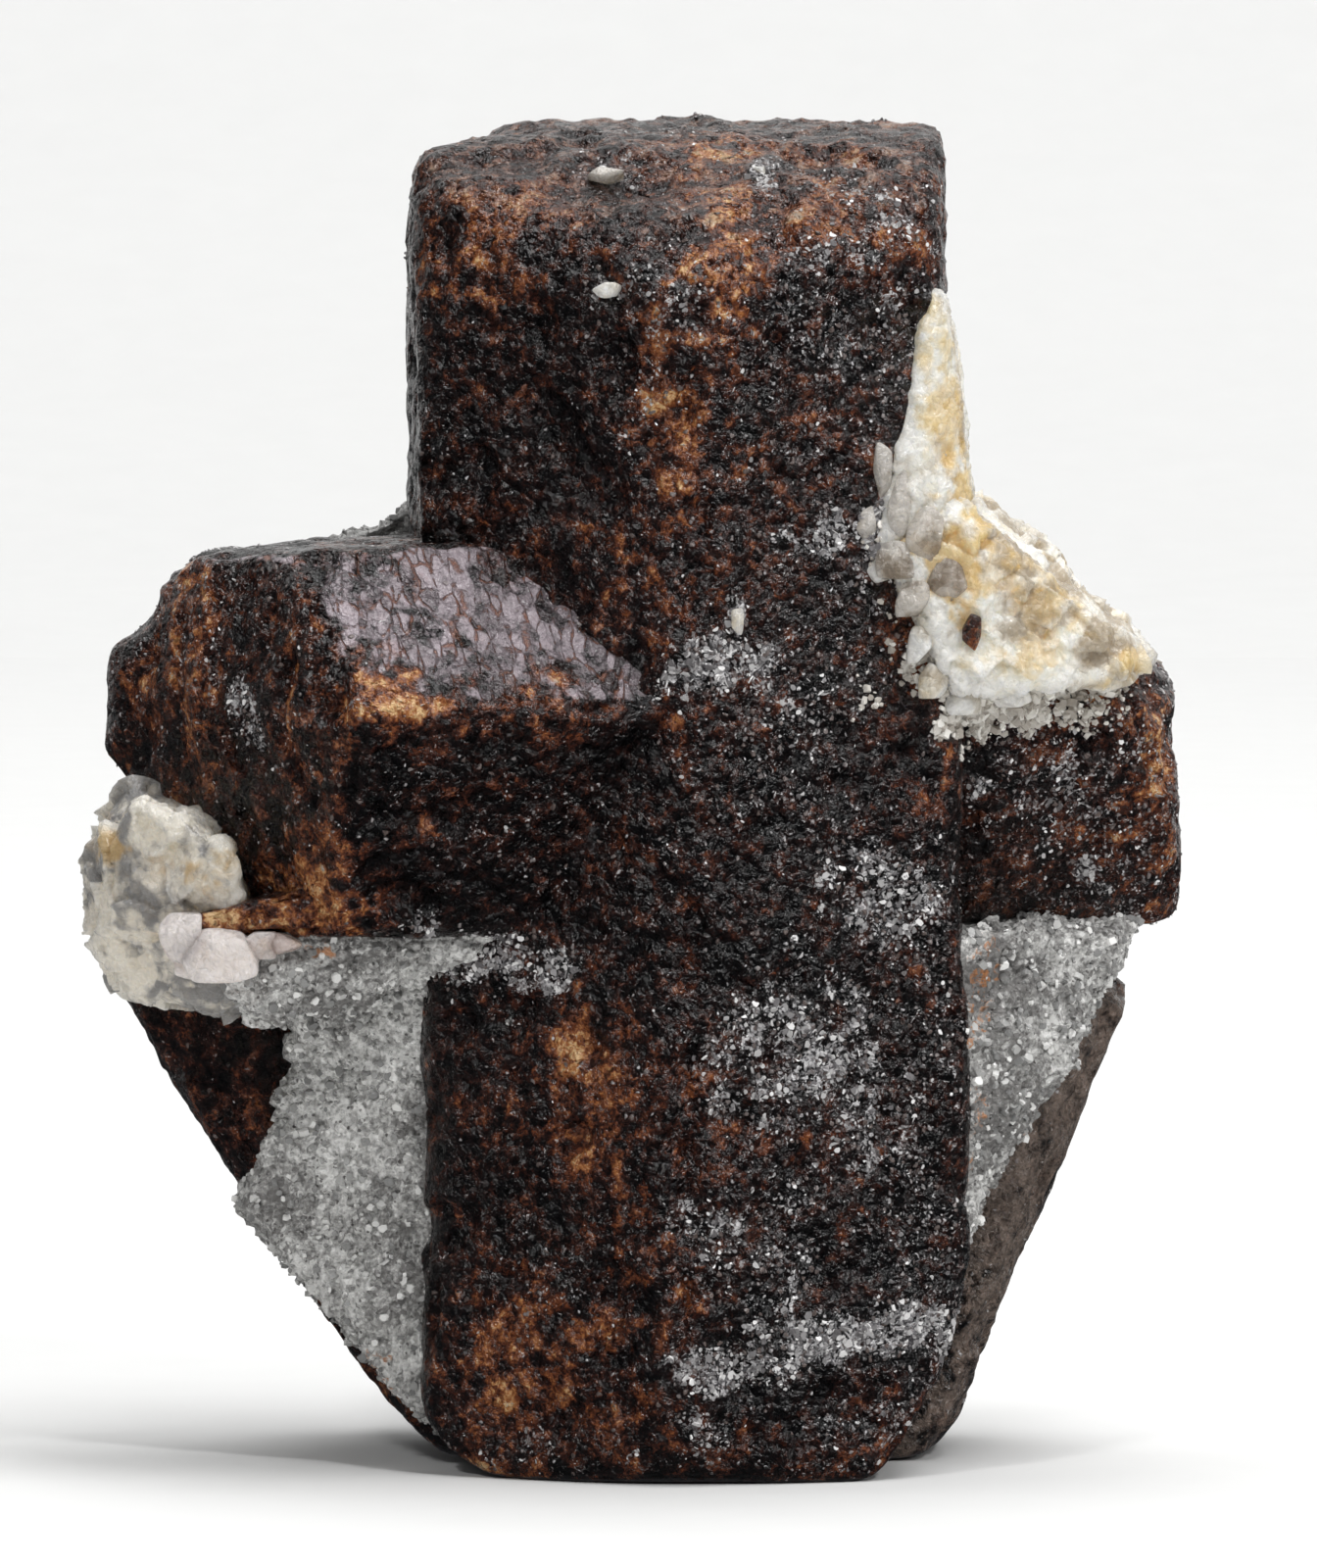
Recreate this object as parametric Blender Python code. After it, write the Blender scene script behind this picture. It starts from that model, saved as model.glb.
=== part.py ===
"""A staurolite cross: three intergrown crystals, with the schist and quartz that still fill their corners.

X runs to the right, Y away from the viewer and Z up. The group stands on its broken lower end at z = 0.
Shapes are worked out in millimetres and scaled to metres when an object is made.
"""

import math

import bmesh
import bpy
from mathutils import Vector, noise

MM = 0.001

# Driving sizes of the group, in millimetres
HEIGHT = 30.6
LEFT_REACH = -12.5
RIGHT_REACH = 12.5

# The upright crystal: its front and back ridges, and the slopes of the faces beside them
UPRIGHT_RIDGE_X = 1.2
UPRIGHT_FRONT_Y = -6.2
UPRIGHT_BACK_Y = 6.0
UPRIGHT_LEFT_X = -4.95
UPRIGHT_RIGHT_X = 7.5
PRISM_SLOPE = math.radians(25.3)
SHALLOW_SLOPE = math.radians(18.3)

# The cross crystal: its left end comes forward, so its front turns to the right by this angle
CROSS_TURN = math.radians(17.7)
CROSS_RIDGE_Z = 17.7
CROSS_FRONT_Y = -5.8
CROSS_BACK_Y = 4.9
CROSS_TOP_Z = 21.2
CROSS_BOTTOM_Z = 12.4
CROSS_UPPER_SLOPE = math.radians(39.0)

# The rear crystal: a broad individual behind the foot of the upright one
REAR_TOP_Z = 11.2
REAR_FRONT_Y = -0.6
REAR_BACK_Y = 8.1
REAR_RIDGE_Z = 6.2

# Surface and fit
CRYSTAL_WEAR = 0.9
ROCK_WEAR = 0.5
CRYSTAL_ROUGHNESS = 0.11
ROCK_ROUGHNESS = 0.34
QUARTZ_ROUGHNESS = 0.26
CRYSTAL_LUMP = 2.4
ROCK_LUMP = 1.9
CRYSTAL_PITCH = 1.7
ROCK_PITCH = 1.1
GAP = 0.3
QUARTZ_GAP = 0.4


# Faces: each is an outward direction and a point on the face


def along(angle, forward):
    """The level direction that leans by angle from the front (forward -1) or from the back (forward 1)."""
    return (math.sin(angle), forward * math.cos(angle), 0.0)


def cross_face(slope, back=False):
    """Outward direction of a cross crystal's face that leans up by slope from its turned front or back."""
    side = 1.0 if back else -1.0
    level = Vector((-side * math.sin(CROSS_TURN), side * math.cos(CROSS_TURN), 0.0))
    return level * math.cos(slope) + Vector((0.0, 0.0, math.sin(slope)))


UPRIGHT_FRONT = (UPRIGHT_RIDGE_X, UPRIGHT_FRONT_Y, 0.0)
UPRIGHT_BACK = (UPRIGHT_RIDGE_X, UPRIGHT_BACK_Y, 0.0)
UPRIGHT = [
    ((-1.0, -0.05, -0.006), (UPRIGHT_LEFT_X, 0.0, 15.0)),
    ((1.0, 0.0, 0.028), (UPRIGHT_RIGHT_X, 0.0, 15.0)),
    (along(-PRISM_SLOPE, -1), UPRIGHT_FRONT),
    (along(SHALLOW_SLOPE, -1), UPRIGHT_FRONT),
    (along(-SHALLOW_SLOPE, 1), UPRIGHT_BACK),
    (along(PRISM_SLOPE, 1), UPRIGHT_BACK),
    # The top, level at the back and sloping down to the front, with its left corner worn off
    ((-0.012, -0.06, 1.0), (UPRIGHT_RIDGE_X, UPRIGHT_BACK_Y, HEIGHT)),
    ((-0.03, -0.42, 1.0), (UPRIGHT_RIDGE_X, -1.0, HEIGHT - 0.3)),
    ((-0.885, 0.0, 0.466), (-4.85, 3.0, 29.7)),
    ((-0.34, 0.0, 0.94), (-3.6, 3.0, 30.35)),
    # The broken foot
    ((-0.66, 0.0, -0.75), (-4.9, 0.0, 1.3)),
    ((0.958, 0.0, -0.287), (7.8, 0.0, 4.9)),
    ((0.78, 0.0, -0.62), (6.74, 0.0, 1.53)),
    ((0.0, -0.9, -0.44), (0.0, -5.9, 0.9)),
    ((0.0, 0.0, -1.0), (0.0, 0.0, 0.0)),
]

CROSS_FRONT = (UPRIGHT_RIDGE_X, CROSS_FRONT_Y, CROSS_RIDGE_Z)
CROSS_BACK = (UPRIGHT_RIDGE_X, CROSS_BACK_Y, CROSS_RIDGE_Z - 0.5)
CROSS_LEFT_EDGE = (-6.2, -8.1, CROSS_RIDGE_Z)
CROSS = [
    (cross_face(CROSS_UPPER_SLOPE), CROSS_FRONT),
    (cross_face(-PRISM_SLOPE), CROSS_FRONT),
    (cross_face(SHALLOW_SLOPE, back=True), CROSS_BACK),
    (cross_face(-PRISM_SLOPE, back=True), CROSS_BACK),
    ((-0.03, 0.0, 1.0), (-6.0, 0.0, CROSS_TOP_Z)),
    ((0.0, 0.0, -1.0), (0.0, 0.0, CROSS_BOTTOM_Z)),
    # The left end is broken back from its front edge, and the right end and its top are worn off
    ((-0.766, -0.643, -0.20), CROSS_LEFT_EDGE),
    ((-0.766, -0.643, 0.25), CROSS_LEFT_EDGE),
    ((-0.74, 0.0, 0.67), (-11.0, 0.0, 19.9)),
    ((-1.0, 0.0, 0.0), (-11.95, 0.0, 0.0)),
    ((0.52, 0.0, 0.855), (9.3, 0.0, 19.9)),
    ((0.88, -0.47, 0.05), (11.3, -2.57, CROSS_RIDGE_Z)),
    ((1.0, 0.0, 0.0), (RIGHT_REACH, 0.0, 0.0)),
]

REAR = [
    ((0.0, -1.0, 0.0), (0.0, REAR_FRONT_Y, 0.0)),
    ((0.03, -0.12, 1.0), (0.0, 3.0, REAR_TOP_Z)),
    ((0.0, 0.86, 0.51), (0.0, REAR_BACK_Y, REAR_RIDGE_Z)),
    ((0.0, 0.90, -0.43), (0.0, REAR_BACK_Y, REAR_RIDGE_Z)),
    ((-0.844, 0.0, -0.537), (-10.95, 0.0, 9.3)),
    ((-0.65, -0.70, -0.25), (-9.8, -1.0, 10.0)),
    ((-0.60, 0.78, 0.0), (-9.0, 5.6, 0.0)),
    ((0.932, 0.0, -0.362), (11.1, 0.0, 9.7)),
    ((0.85, 0.0, -0.53), (8.4, 0.0, 2.0)),
    ((0.76, -0.60, -0.22), (9.3, -0.7, 8.0)),
    ((0.55, 0.83, 0.0), (8.2, 6.0, 0.0)),
    ((-0.613, 0.0, -0.789), (-6.1, 0.0, 1.4)),
    ((0.0, 0.0, -1.0), (0.0, 0.0, 0.0)),
]

# Grey schist under the left arm, between the upright and the rear crystal
SCHIST_LEFT = [
    ((-0.42, -1.0, -0.10), (-5.0, -2.7, 8.0)),
    ((-0.95, 0.0, 0.30), (-7.9, 0.0, 9.6)),
    ((-0.747, 0.0, -0.664), (-8.1, 0.0, 4.7)),
    ((-0.613, 0.0, -0.789), (-5.8, 0.0, 1.7)),
    ((1.0, 0.0, 0.0), (-1.6, 0.0, 0.0)),
    ((0.0, 1.0, 0.0), (0.0, 0.9, 0.0)),
    ((0.0, 0.0, 1.0), (0.0, 0.0, 14.0)),
    ((0.0, 0.0, -1.0), (0.0, 0.0, 0.5)),
]

# Grey schist under the right arm, which thins out over the rear crystal
SCHIST_RIGHT = [
    ((0.70, -1.0, -0.08), (7.7, -3.5, 9.0)),
    ((1.0, 0.0, -0.55), (11.6, 0.0, 12.2)),
    ((0.856, 0.0, -0.516), (9.6, 0.0, 6.6)),
    ((-1.0, 0.0, 0.0), (6.8, 0.0, 0.0)),
    ((0.0, 1.0, 0.0), (0.0, 3.6, 0.0)),
    ((0.0, 0.0, 1.0), (0.0, 0.0, 12.1)),
    ((0.0, 0.0, -1.0), (0.0, 0.0, 3.4)),
]

# Schist behind the left arm, in the corner between the cross crystal and the upright one
SCHIST_BACK = [
    ((-1.0, 0.1, 0.12), (-9.0, 0.0, 14.0)),
    ((-0.30, 0.95, 0.10), (-3.5, 6.4, 16.0)),
    ((-0.42, 0.25, 0.88), (-5.4, 3.0, 21.9)),
    ((0.8, 0.6, 0.0), (-0.4, 6.0, 0.0)),
    ((0.0, -1.0, 0.0), (0.0, 2.3, 0.0)),
    ((-0.3, 0.3, -0.9), (-4.0, 5.0, 11.4)),
    ((0.0, 0.0, -1.0), (0.0, 0.0, 10.0)),
]

# White quartz: a strip down the upright's right edge, and the wedge that it widens into on the right arm
QUARTZ_STRIP = [
    ((0.995, 0.0, 0.10), (7.75, 0.0, 22.0)),
    ((-0.98, 0.0, 0.205), (5.9, 0.0, 23.4)),
    (along(SHALLOW_SLOPE, -1), (UPRIGHT_RIDGE_X, UPRIGHT_FRONT_Y - 0.25, 0.0)),
    ((0.75, -0.66, 0.0), (7.3, -4.2, 0.0)),
    ((0.2, 0.0, 1.0), (7.2, 0.0, 27.5)),
    ((0.0, 1.0, 0.1), (0.0, 2.4, 22.0)),
    ((-0.3, 0.0, -0.95), (5.9, 0.0, 20.6)),
]
QUARTZ_WEDGE = [
    ((0.627, 0.0, 0.779), (8.0, 0.0, 21.9)),
    ((0.10, -0.87, 0.22), (8.0, -5.0, 19.6)),
    ((0.30, -0.95, 0.0), (8.0, -4.65, 17.4)),
    ((-0.912, 0.0, -0.41), (6.2, 0.0, 19.9)),
    ((-0.70, 0.0, 0.71), (5.6, 0.0, 21.7)),
    ((0.98, -0.1, 0.1), (12.1, 0.0, 18.0)),
    ((0.05, -0.25, -0.97), (8.0, -4.4, 17.8)),
    ((0.0, 1.0, 0.2), (0.0, 3.0, 18.0)),
]

# Grey quartz that wraps the lower corner of the left arm's end
QUARTZ_LEFT = [
    ((-1.0, 0.0, 0.0), (LEFT_REACH, 0.0, 0.0)),
    ((-0.896, 0.0, 0.443), (-11.7, 0.0, 15.4)),
    ((-0.916, 0.0, -0.402), (-12.4, 0.0, 12.2)),
    ((-0.81, 0.0, -0.584), (-11.8, 0.0, 10.5)),
    ((0.30, 0.0, 0.95), (-10.6, 0.0, 15.5)),
    ((0.66, 0.0, 0.75), (-8.9, 0.0, 14.4)),
    ((1.0, 0.0, 0.0), (-7.0, 0.0, 0.0)),
    ((-0.50, -0.86, -0.10), (-10.2, -4.6, 13.5)),
    ((-0.1, -0.8, -0.6), (-9.5, -3.8, 11.5)),
    ((-0.3, 0.95, 0.0), (-10.5, 2.6, 0.0)),
    ((0.0, 0.0, -1.0), (0.0, 0.0, 10.7)),
]

# Pale quartz grains under the left arm's front edge: middle, then half sizes
QUARTZ_GRAINS = [
    ((-9.45, -4.9, 12.1), (1.30, 0.95, 0.76)),
    ((-7.85, -5.2, 12.0), (0.62, 0.55, 0.42)),
]


# Building


def corner_cut(normals, co, wear):
    """A face across an edge or corner where a round of radius wear would touch it."""
    n = sum(normals, Vector()).normalized()
    nearest = max(0.6, min(n.dot(other) for other in normals))
    return n, Vector(co) - n * wear * (1.0 / nearest - 1.0)


def convex_body(faces, grow=0.0):
    """A block cut down by every face's plane, each moved out by grow, as a bmesh."""
    bm = bmesh.new()
    bmesh.ops.create_cube(bm, size=120.0)
    for normal, point in faces:
        n = Vector(normal).normalized()
        cut = bmesh.ops.bisect_plane(
            bm,
            geom=bm.verts[:] + bm.edges[:] + bm.faces[:],
            dist=1e-5,
            plane_co=Vector(point) + n * grow,
            plane_no=n,
            clear_outer=True,
        )
        rim = [part for part in cut["geom_cut"] if isinstance(part, bmesh.types.BMEdge)]
        if rim:
            bmesh.ops.edgeloop_fill(bm, edges=rim)
    bmesh.ops.recalc_face_normals(bm, faces=bm.faces)
    bm.normal_update()
    return bm


def worn_faces(faces, wear):
    """The faces, with one more across each sharp edge and corner, except at the foot, which stays flat."""
    bm = convex_body(faces)
    more = []
    for part in bm.edges[:] + bm.verts[:]:
        normals = [face.normal.copy() for face in part.link_faces]
        at_foot = min(n.z for n in normals) < -0.99
        sharp = max(a.angle(b) for a in normals for b in normals) > math.radians(24)
        if sharp and not at_foot:
            co = part.verts[0].co if isinstance(part, bmesh.types.BMEdge) else part.co
            more.append(corner_cut(normals, co, wear))
    bm.free()
    return faces + more


def mesh_object(name, bm, helper=False):
    """A bmesh in millimetres as an object in the scene, in millimetres still."""
    mesh = bpy.data.meshes.new(name)
    bm.to_mesh(mesh)
    bm.free()
    obj = bpy.data.objects.new(name, mesh)
    bpy.context.scene.collection.objects.link(obj)
    if helper:
        obj.hide_render = True
        obj.display_type = "WIRE"
    return obj


def boolean(obj, others, operation):
    """Joins the other objects to obj, or cuts them from it, and applies the result."""
    for other in others:
        modifier = obj.modifiers.new(operation.title(), "BOOLEAN")
        modifier.operation = operation
        modifier.object = other
    graph = bpy.context.evaluated_depsgraph_get()
    solid = bpy.data.meshes.new_from_object(obj.evaluated_get(graph))
    obj.modifiers.clear()
    obj.data = solid


def score(bm, pitch):
    """Divides the faces along planes a pitch apart on each axis, so that roughness has points to move."""
    for axis in range(3):
        normal = Vector([float(i == axis) for i in range(3)])
        low = min(v.co[axis] for v in bm.verts)
        high = max(v.co[axis] for v in bm.verts)
        for step in range(1, math.ceil((high - low) / pitch)):
            bmesh.ops.bisect_plane(
                bm,
                geom=bm.verts[:] + bm.edges[:] + bm.faces[:],
                dist=0.05,
                plane_co=normal * (low + step * pitch),
                plane_no=normal,
            )
    bmesh.ops.triangulate(bm, faces=bm.faces)


def roughen(bm, depth, lump, seed, floor=0.03):
    """Moves each point along its normal by two sizes of noise, and leaves the flat foot where it is."""
    bm.normal_update()
    shift = Vector((seed * 17.0, seed * 5.0, seed * 11.0))
    moved = []
    for v in bm.verts:
        broad = noise.noise(v.co / lump + shift)
        fine = noise.noise(v.co / (lump * 0.4) + shift)
        moved.append(v.co + v.normal * depth * (broad + 0.45 * fine))
    for v, co in zip(bm.verts, moved):
        if v.co.z > floor:
            v.co = (co.x, co.y, max(co.z, floor))


def finish(obj, colour, roughness):
    """Scales the object's mesh to metres and gives it its own material."""
    obj.data.transform(((MM, 0, 0, 0), (0, MM, 0, 0), (0, 0, MM, 0), (0, 0, 0, 1)))
    obj.data.materials.clear()
    material = bpy.data.materials.new(obj.name)
    material.use_nodes = True
    shader = material.node_tree.nodes["Principled BSDF"]
    shader.inputs["Base Color"].default_value = (*colour, 1.0)
    shader.inputs["Roughness"].default_value = roughness
    shader.inputs["Metallic"].default_value = 0.0
    obj.data.materials.append(material)


def lumpy_body(name, faces, seed, depth, grow=0.0, helper=False):
    """A block of rock with worn edges and a lumpy surface, grown where it stands for a neighbour's room."""
    bm = convex_body(worn_faces(faces, ROCK_WEAR), grow)
    score(bm, ROCK_PITCH)
    roughen(bm, depth, ROCK_LUMP, seed)
    return mesh_object(name, bm, helper)


def rough_crystals(pockets):
    """The three crystals joined in one solid, with a pocket round each quartz body that bites into them."""
    obj = mesh_object("staurolite_cross", convex_body(worn_faces(UPRIGHT, CRYSTAL_WEAR)))
    others = [
        mesh_object("cross_crystal", convex_body(worn_faces(CROSS, CRYSTAL_WEAR)), helper=True),
        mesh_object("rear_crystal", convex_body(worn_faces(REAR, CRYSTAL_WEAR)), helper=True),
    ]
    boolean(obj, others, "UNION")
    bm = bmesh.new()
    bm.from_mesh(obj.data)
    score(bm, CRYSTAL_PITCH)
    roughen(bm, CRYSTAL_ROUGHNESS, CRYSTAL_LUMP, seed=1)
    bm.to_mesh(obj.data)
    bm.free()
    boolean(obj, pockets, "DIFFERENCE")
    finish(obj, (0.060, 0.032, 0.025), 0.55)


def rock(name, bodies, cutters, seed, colour, roughness, depth=ROCK_ROUGHNESS):
    """A lumpy body of schist or quartz, joined from its blocks, less the room that its neighbours need."""
    obj = lumpy_body(name, bodies[0], seed, depth)
    extra = [lumpy_body(name + "_block", body, seed, depth, helper=True) for body in bodies[1:]]
    if extra:
        boolean(obj, extra, "UNION")
    if cutters:
        boolean(obj, cutters, "DIFFERENCE")
    finish(obj, colour, roughness)


def grain_body(middle, half, grow=0.0):
    """One rounded quartz grain: a ball with a few dents, stretched to its half sizes."""
    bm = bmesh.new()
    bmesh.ops.create_icosphere(bm, subdivisions=2, radius=1.0)
    for v in bm.verts:
        bump = 1.0 + 0.16 * noise.noise(v.co * 1.7 + Vector(middle))
        v.co = Vector([m + c * bump * (h + grow) for m, c, h in zip(middle, v.co, half)])
    return bm


def build():
    for obj in list(bpy.data.objects):
        bpy.data.objects.remove(obj)

    strip_room = lumpy_body("strip_room", QUARTZ_STRIP, 5, QUARTZ_ROUGHNESS, QUARTZ_GAP, helper=True)
    wedge_room = lumpy_body("wedge_room", QUARTZ_WEDGE, 5, QUARTZ_ROUGHNESS, QUARTZ_GAP, helper=True)
    left_room = lumpy_body("left_room", QUARTZ_LEFT, 6, QUARTZ_ROUGHNESS, QUARTZ_GAP, helper=True)
    grains = [mesh_object("grain_room", grain_body(*g, grow=GAP), helper=True) for g in QUARTZ_GRAINS]
    rough_crystals([strip_room, wedge_room, left_room] + grains)

    crystal_room = GAP + CRYSTAL_ROUGHNESS
    crystals = [
        mesh_object("upright_room", convex_body(UPRIGHT, crystal_room), helper=True),
        mesh_object("cross_room", convex_body(CROSS, crystal_room), helper=True),
        mesh_object("rear_room", convex_body(REAR, crystal_room), helper=True),
    ]
    grey = (0.42, 0.43, 0.43)
    rock("schist_left", [SCHIST_LEFT], crystals + [left_room] + grains, 2, grey, 0.8)
    rock("schist_right", [SCHIST_RIGHT], crystals, 3, grey, 0.8)
    rock("schist_back", [SCHIST_BACK], crystals + [left_room], 4, grey, 0.8)
    rock("quartz_right", [QUARTZ_WEDGE, QUARTZ_STRIP], [], 5, (0.72, 0.68, 0.60), 0.45, QUARTZ_ROUGHNESS)
    rock("quartz_left", [QUARTZ_LEFT], grains, 6, (0.50, 0.50, 0.49), 0.4, QUARTZ_ROUGHNESS)

    nodule = mesh_object("quartz_grains", grain_body(*QUARTZ_GRAINS[0]))
    boolean(nodule, [mesh_object("small_grain", grain_body(*QUARTZ_GRAINS[1]), helper=True)], "UNION")
    finish(nodule, (0.78, 0.70, 0.66), 0.35)


build()
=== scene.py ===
"""A staurolite cross in schist on a pale floor: the finish of every crystal, rock and quartz body.

Shapes are worked out in millimetres, X right, Y away and Z up, and made metres when they become meshes.
"""

import math

import bpy
import numpy as np
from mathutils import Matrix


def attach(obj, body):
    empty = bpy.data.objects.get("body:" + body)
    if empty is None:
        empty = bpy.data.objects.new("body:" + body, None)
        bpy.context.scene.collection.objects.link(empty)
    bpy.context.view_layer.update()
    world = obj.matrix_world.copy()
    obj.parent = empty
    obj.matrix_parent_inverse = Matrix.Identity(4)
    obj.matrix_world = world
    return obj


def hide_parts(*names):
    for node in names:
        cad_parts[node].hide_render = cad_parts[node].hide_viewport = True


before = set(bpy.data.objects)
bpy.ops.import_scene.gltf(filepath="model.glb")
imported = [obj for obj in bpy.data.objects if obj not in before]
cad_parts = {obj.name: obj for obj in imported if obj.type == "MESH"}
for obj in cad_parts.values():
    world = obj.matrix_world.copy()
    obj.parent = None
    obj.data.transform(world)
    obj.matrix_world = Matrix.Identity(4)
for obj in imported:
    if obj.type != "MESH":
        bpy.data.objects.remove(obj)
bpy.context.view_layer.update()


# Upright crystal
# A stout staurolite prism with a broken foot, a rounded top and worn edges. Its four long faces meet in a
# front and a back ridge. The left half of its front is dark and smooth, the right half dusted with mica.

MM = 0.001
PRISM_SLOPE = math.radians(25.3)
SHALLOW_SLOPE = math.radians(18.3)
GROUP_HEIGHT = 30.6
UPRIGHT_RIDGE_X = 1.2
UPRIGHT_FRONT = (UPRIGHT_RIDGE_X, -6.2, 0.0)
UPRIGHT_BACK = (UPRIGHT_RIDGE_X, 6.0, 0.0)
UPRIGHT_FACES = [
    ((-1, -0.05, -0.006), (-4.95, 0, 15)),
    ((1, 0, 0.028), (7.5, 0, 15)),
    ((-math.sin(PRISM_SLOPE), -math.cos(PRISM_SLOPE), 0.0), UPRIGHT_FRONT),
    ((math.sin(SHALLOW_SLOPE), -math.cos(SHALLOW_SLOPE), 0.0), UPRIGHT_FRONT),
    ((-math.sin(SHALLOW_SLOPE), math.cos(SHALLOW_SLOPE), 0.0), UPRIGHT_BACK),
    ((math.sin(PRISM_SLOPE), math.cos(PRISM_SLOPE), 0.0), UPRIGHT_BACK),
    # The top, level at the back and sloping down to the front, with its left corner worn off
    ((-0.012, -0.06, 1), (UPRIGHT_RIDGE_X, 6, GROUP_HEIGHT + 0.2)),
    ((-0.03, -0.42, 1), (UPRIGHT_RIDGE_X, -1, GROUP_HEIGHT)),
    ((-0.885, 0, 0.466), (-5, 3, 30)),
    ((-0.3, 0, 0.95), (-3.6, 3, 30.6)),
    # The broken foot
    ((-0.66, 0, -0.75), (-4.9, 0, 1.3)),
    ((0.958, 0, -0.287), (7.8, 0, 4.9)),
    ((0.78, 0, -0.62), (6.74, 0, 1.53)),
    ((0, -0.9, -0.44), (0, -5.9, 0.9)),
    ((0, 0, -1), (0, 0, 0)),
]


def smooth(low, high, value):
    """0 below low, 1 above high, and an S-curve between them."""
    t = np.clip((value - low) / (high - low), 0.0, 1.0)
    return t * t * (3.0 - 2.0 * t)


def dice(cell, seed):
    """A number from 0 to 1 for each whole-numbered lattice point, mixed from its indices."""
    h = cell[..., 0] * 73856093 ^ cell[..., 1] * 19349663 ^ cell[..., 2] * 83492791 ^ (seed + 1) * 40503
    h = (h & 0xFFFFFFFF) * 1103515245 + 12345
    h = ((h ^ (h >> 15)) & 0xFFFFFFFF) * 668265261
    h = ((h ^ (h >> 13)) & 0xFFFFFFFF) * 374761393
    return ((h ^ (h >> 16)) & 0xFFFFFF) / 0xFFFFFF


TILTED_LATTICE = np.array([[0.36, 0.48, -0.80], [-0.80, 0.60, 0.0], [0.48, 0.64, 0.60]])


def noise(points, size, seed):
    """Smooth noise from -1 to 1: numbers on a tilted lattice of this spacing, blended between its points."""
    q = points @ TILTED_LATTICE / size + seed * 7.31
    base = np.floor(q).astype(np.int64)
    f = q - base
    w = f * f * f * (f * (f * 6.0 - 15.0) + 10.0)
    total = np.zeros(points.shape[:-1])
    for corner in range(8):
        step = np.array([corner & 1, corner >> 1 & 1, corner >> 2])
        total += np.prod(np.where(step, w, 1.0 - w), axis=-1) * dice(base + step, seed)
    return total * 2.0 - 1.0


def rough_noise(points, size, seed, octaves=4, gain=0.5):
    """Noise summed over octaves, each half the size of the last and gain times its height."""
    return sum(noise(points, size / 2.0 ** k, seed + k) * gain ** k for k in range(octaves))


def grain_cells(points, size, seed):
    """Nearest grain to each point: its dome, 0 at the rim to 1 in the middle, number and tilted facet.

    Grain middles are lattice points pushed about by up to a third of the spacing. The facet is the offset
    from the middle along a direction of the grain's own.
    """
    q = points @ TILTED_LATTICE / size + seed * 3.17
    base = np.floor(q).astype(np.int64)
    nearest = np.full(points.shape[:-1], 9.0)
    second = nearest.copy()
    number = np.zeros(points.shape[:-1])
    facet = number.copy()
    for corner in range(8):
        cell = base + np.array([corner & 1, corner >> 1 & 1, corner >> 2])
        push = np.stack([dice(cell, seed + k) for k in range(3)], axis=-1) * 0.66 - 0.33
        offset = q - cell - push
        far = np.linalg.norm(offset, axis=-1)
        closer = far < nearest
        second = np.where(closer, nearest, np.minimum(second, far))
        number = np.where(closer, dice(cell, seed + 5), number)
        facet = np.where(closer, (offset * push[..., [1, 2, 0]]).sum(axis=-1) * 4.0, facet)
        nearest = np.minimum(nearest, far)
    return np.clip((second - nearest) * 2.0, 0.0, 1.0), number, facet


def spindle_rays(start, end, front, around, straight, cap, crowding=0.0):
    """Rays that leave a line from start to end at right angles, and fan out round its two ends.

    A ring's rays are counted from front, and crowding draws them towards it: angle = t - crowding sin t.
    Returns the rings' origins and directions, ring by ring, and the two end rays.
    """
    start, end, front = (np.array(v, float) for v in (start, end, front))
    axis = (end - start) / np.linalg.norm(end - start)
    front = front - axis * front.dot(axis)
    front /= np.linalg.norm(front)
    side = np.cross(axis, front)
    t = np.linspace(-math.pi, math.pi, around, endpoint=False)
    angle = t - crowding * np.sin(t)
    spoke = np.cos(angle)[:, None] * front + np.sin(angle)[:, None] * side
    rise = np.linspace(0.0, math.pi / 2, cap + 1)[1:-1]
    lean = np.concatenate([-rise[::-1], np.zeros(straight), rise])
    along = np.concatenate([np.zeros(cap - 1), np.linspace(0.0, 1.0, straight), np.ones(cap - 1)])
    origins = start + along[:, None, None] * (end - start) + np.zeros((1, around, 3))
    rays = np.cos(lean)[:, None, None] * spoke + np.sin(lean)[:, None, None] * axis
    poles = np.array([start, end]), np.array([-axis, axis])
    return origins, rays, poles


def worn_block(faces, origins, rays, sharpness):
    """Where each ray leaves the block that the faces cut, its edges worn round.

    The block is where log(sum(exp(sharpness * height above each face))) / sharpness is below zero, and the
    ray's length is found by Newton steps from outside. Returns points, outward normals, and how near an edge
    each is.
    """
    normals = np.array([n for n, _ in faces], float)
    normals /= np.linalg.norm(normals, axis=1)[:, None]
    levels = (normals * np.array([p for _, p in faces], float)).sum(axis=1)
    towards = rays @ normals.T
    room = levels - origins @ normals.T
    reach = np.where(towards > 1e-4, room / np.maximum(towards, 1e-4), 1e3).min(axis=-1)
    for _ in range(6):
        points = origins + rays * reach[..., None]
        heights = (points @ normals.T - levels) * sharpness[..., None]
        top = heights.max(axis=-1, keepdims=True)
        share = np.exp(heights - top)
        total = share.sum(axis=-1, keepdims=True)
        share /= total
        value = (top[..., 0] + np.log(total[..., 0])) / sharpness
        reach = reach - value / np.maximum((share * towards).sum(axis=-1), 0.05)
    outward = share @ normals
    outward /= np.linalg.norm(outward, axis=-1)[..., None]
    return origins + rays * reach[..., None], outward, 1.0 - share.max(axis=-1)


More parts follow.
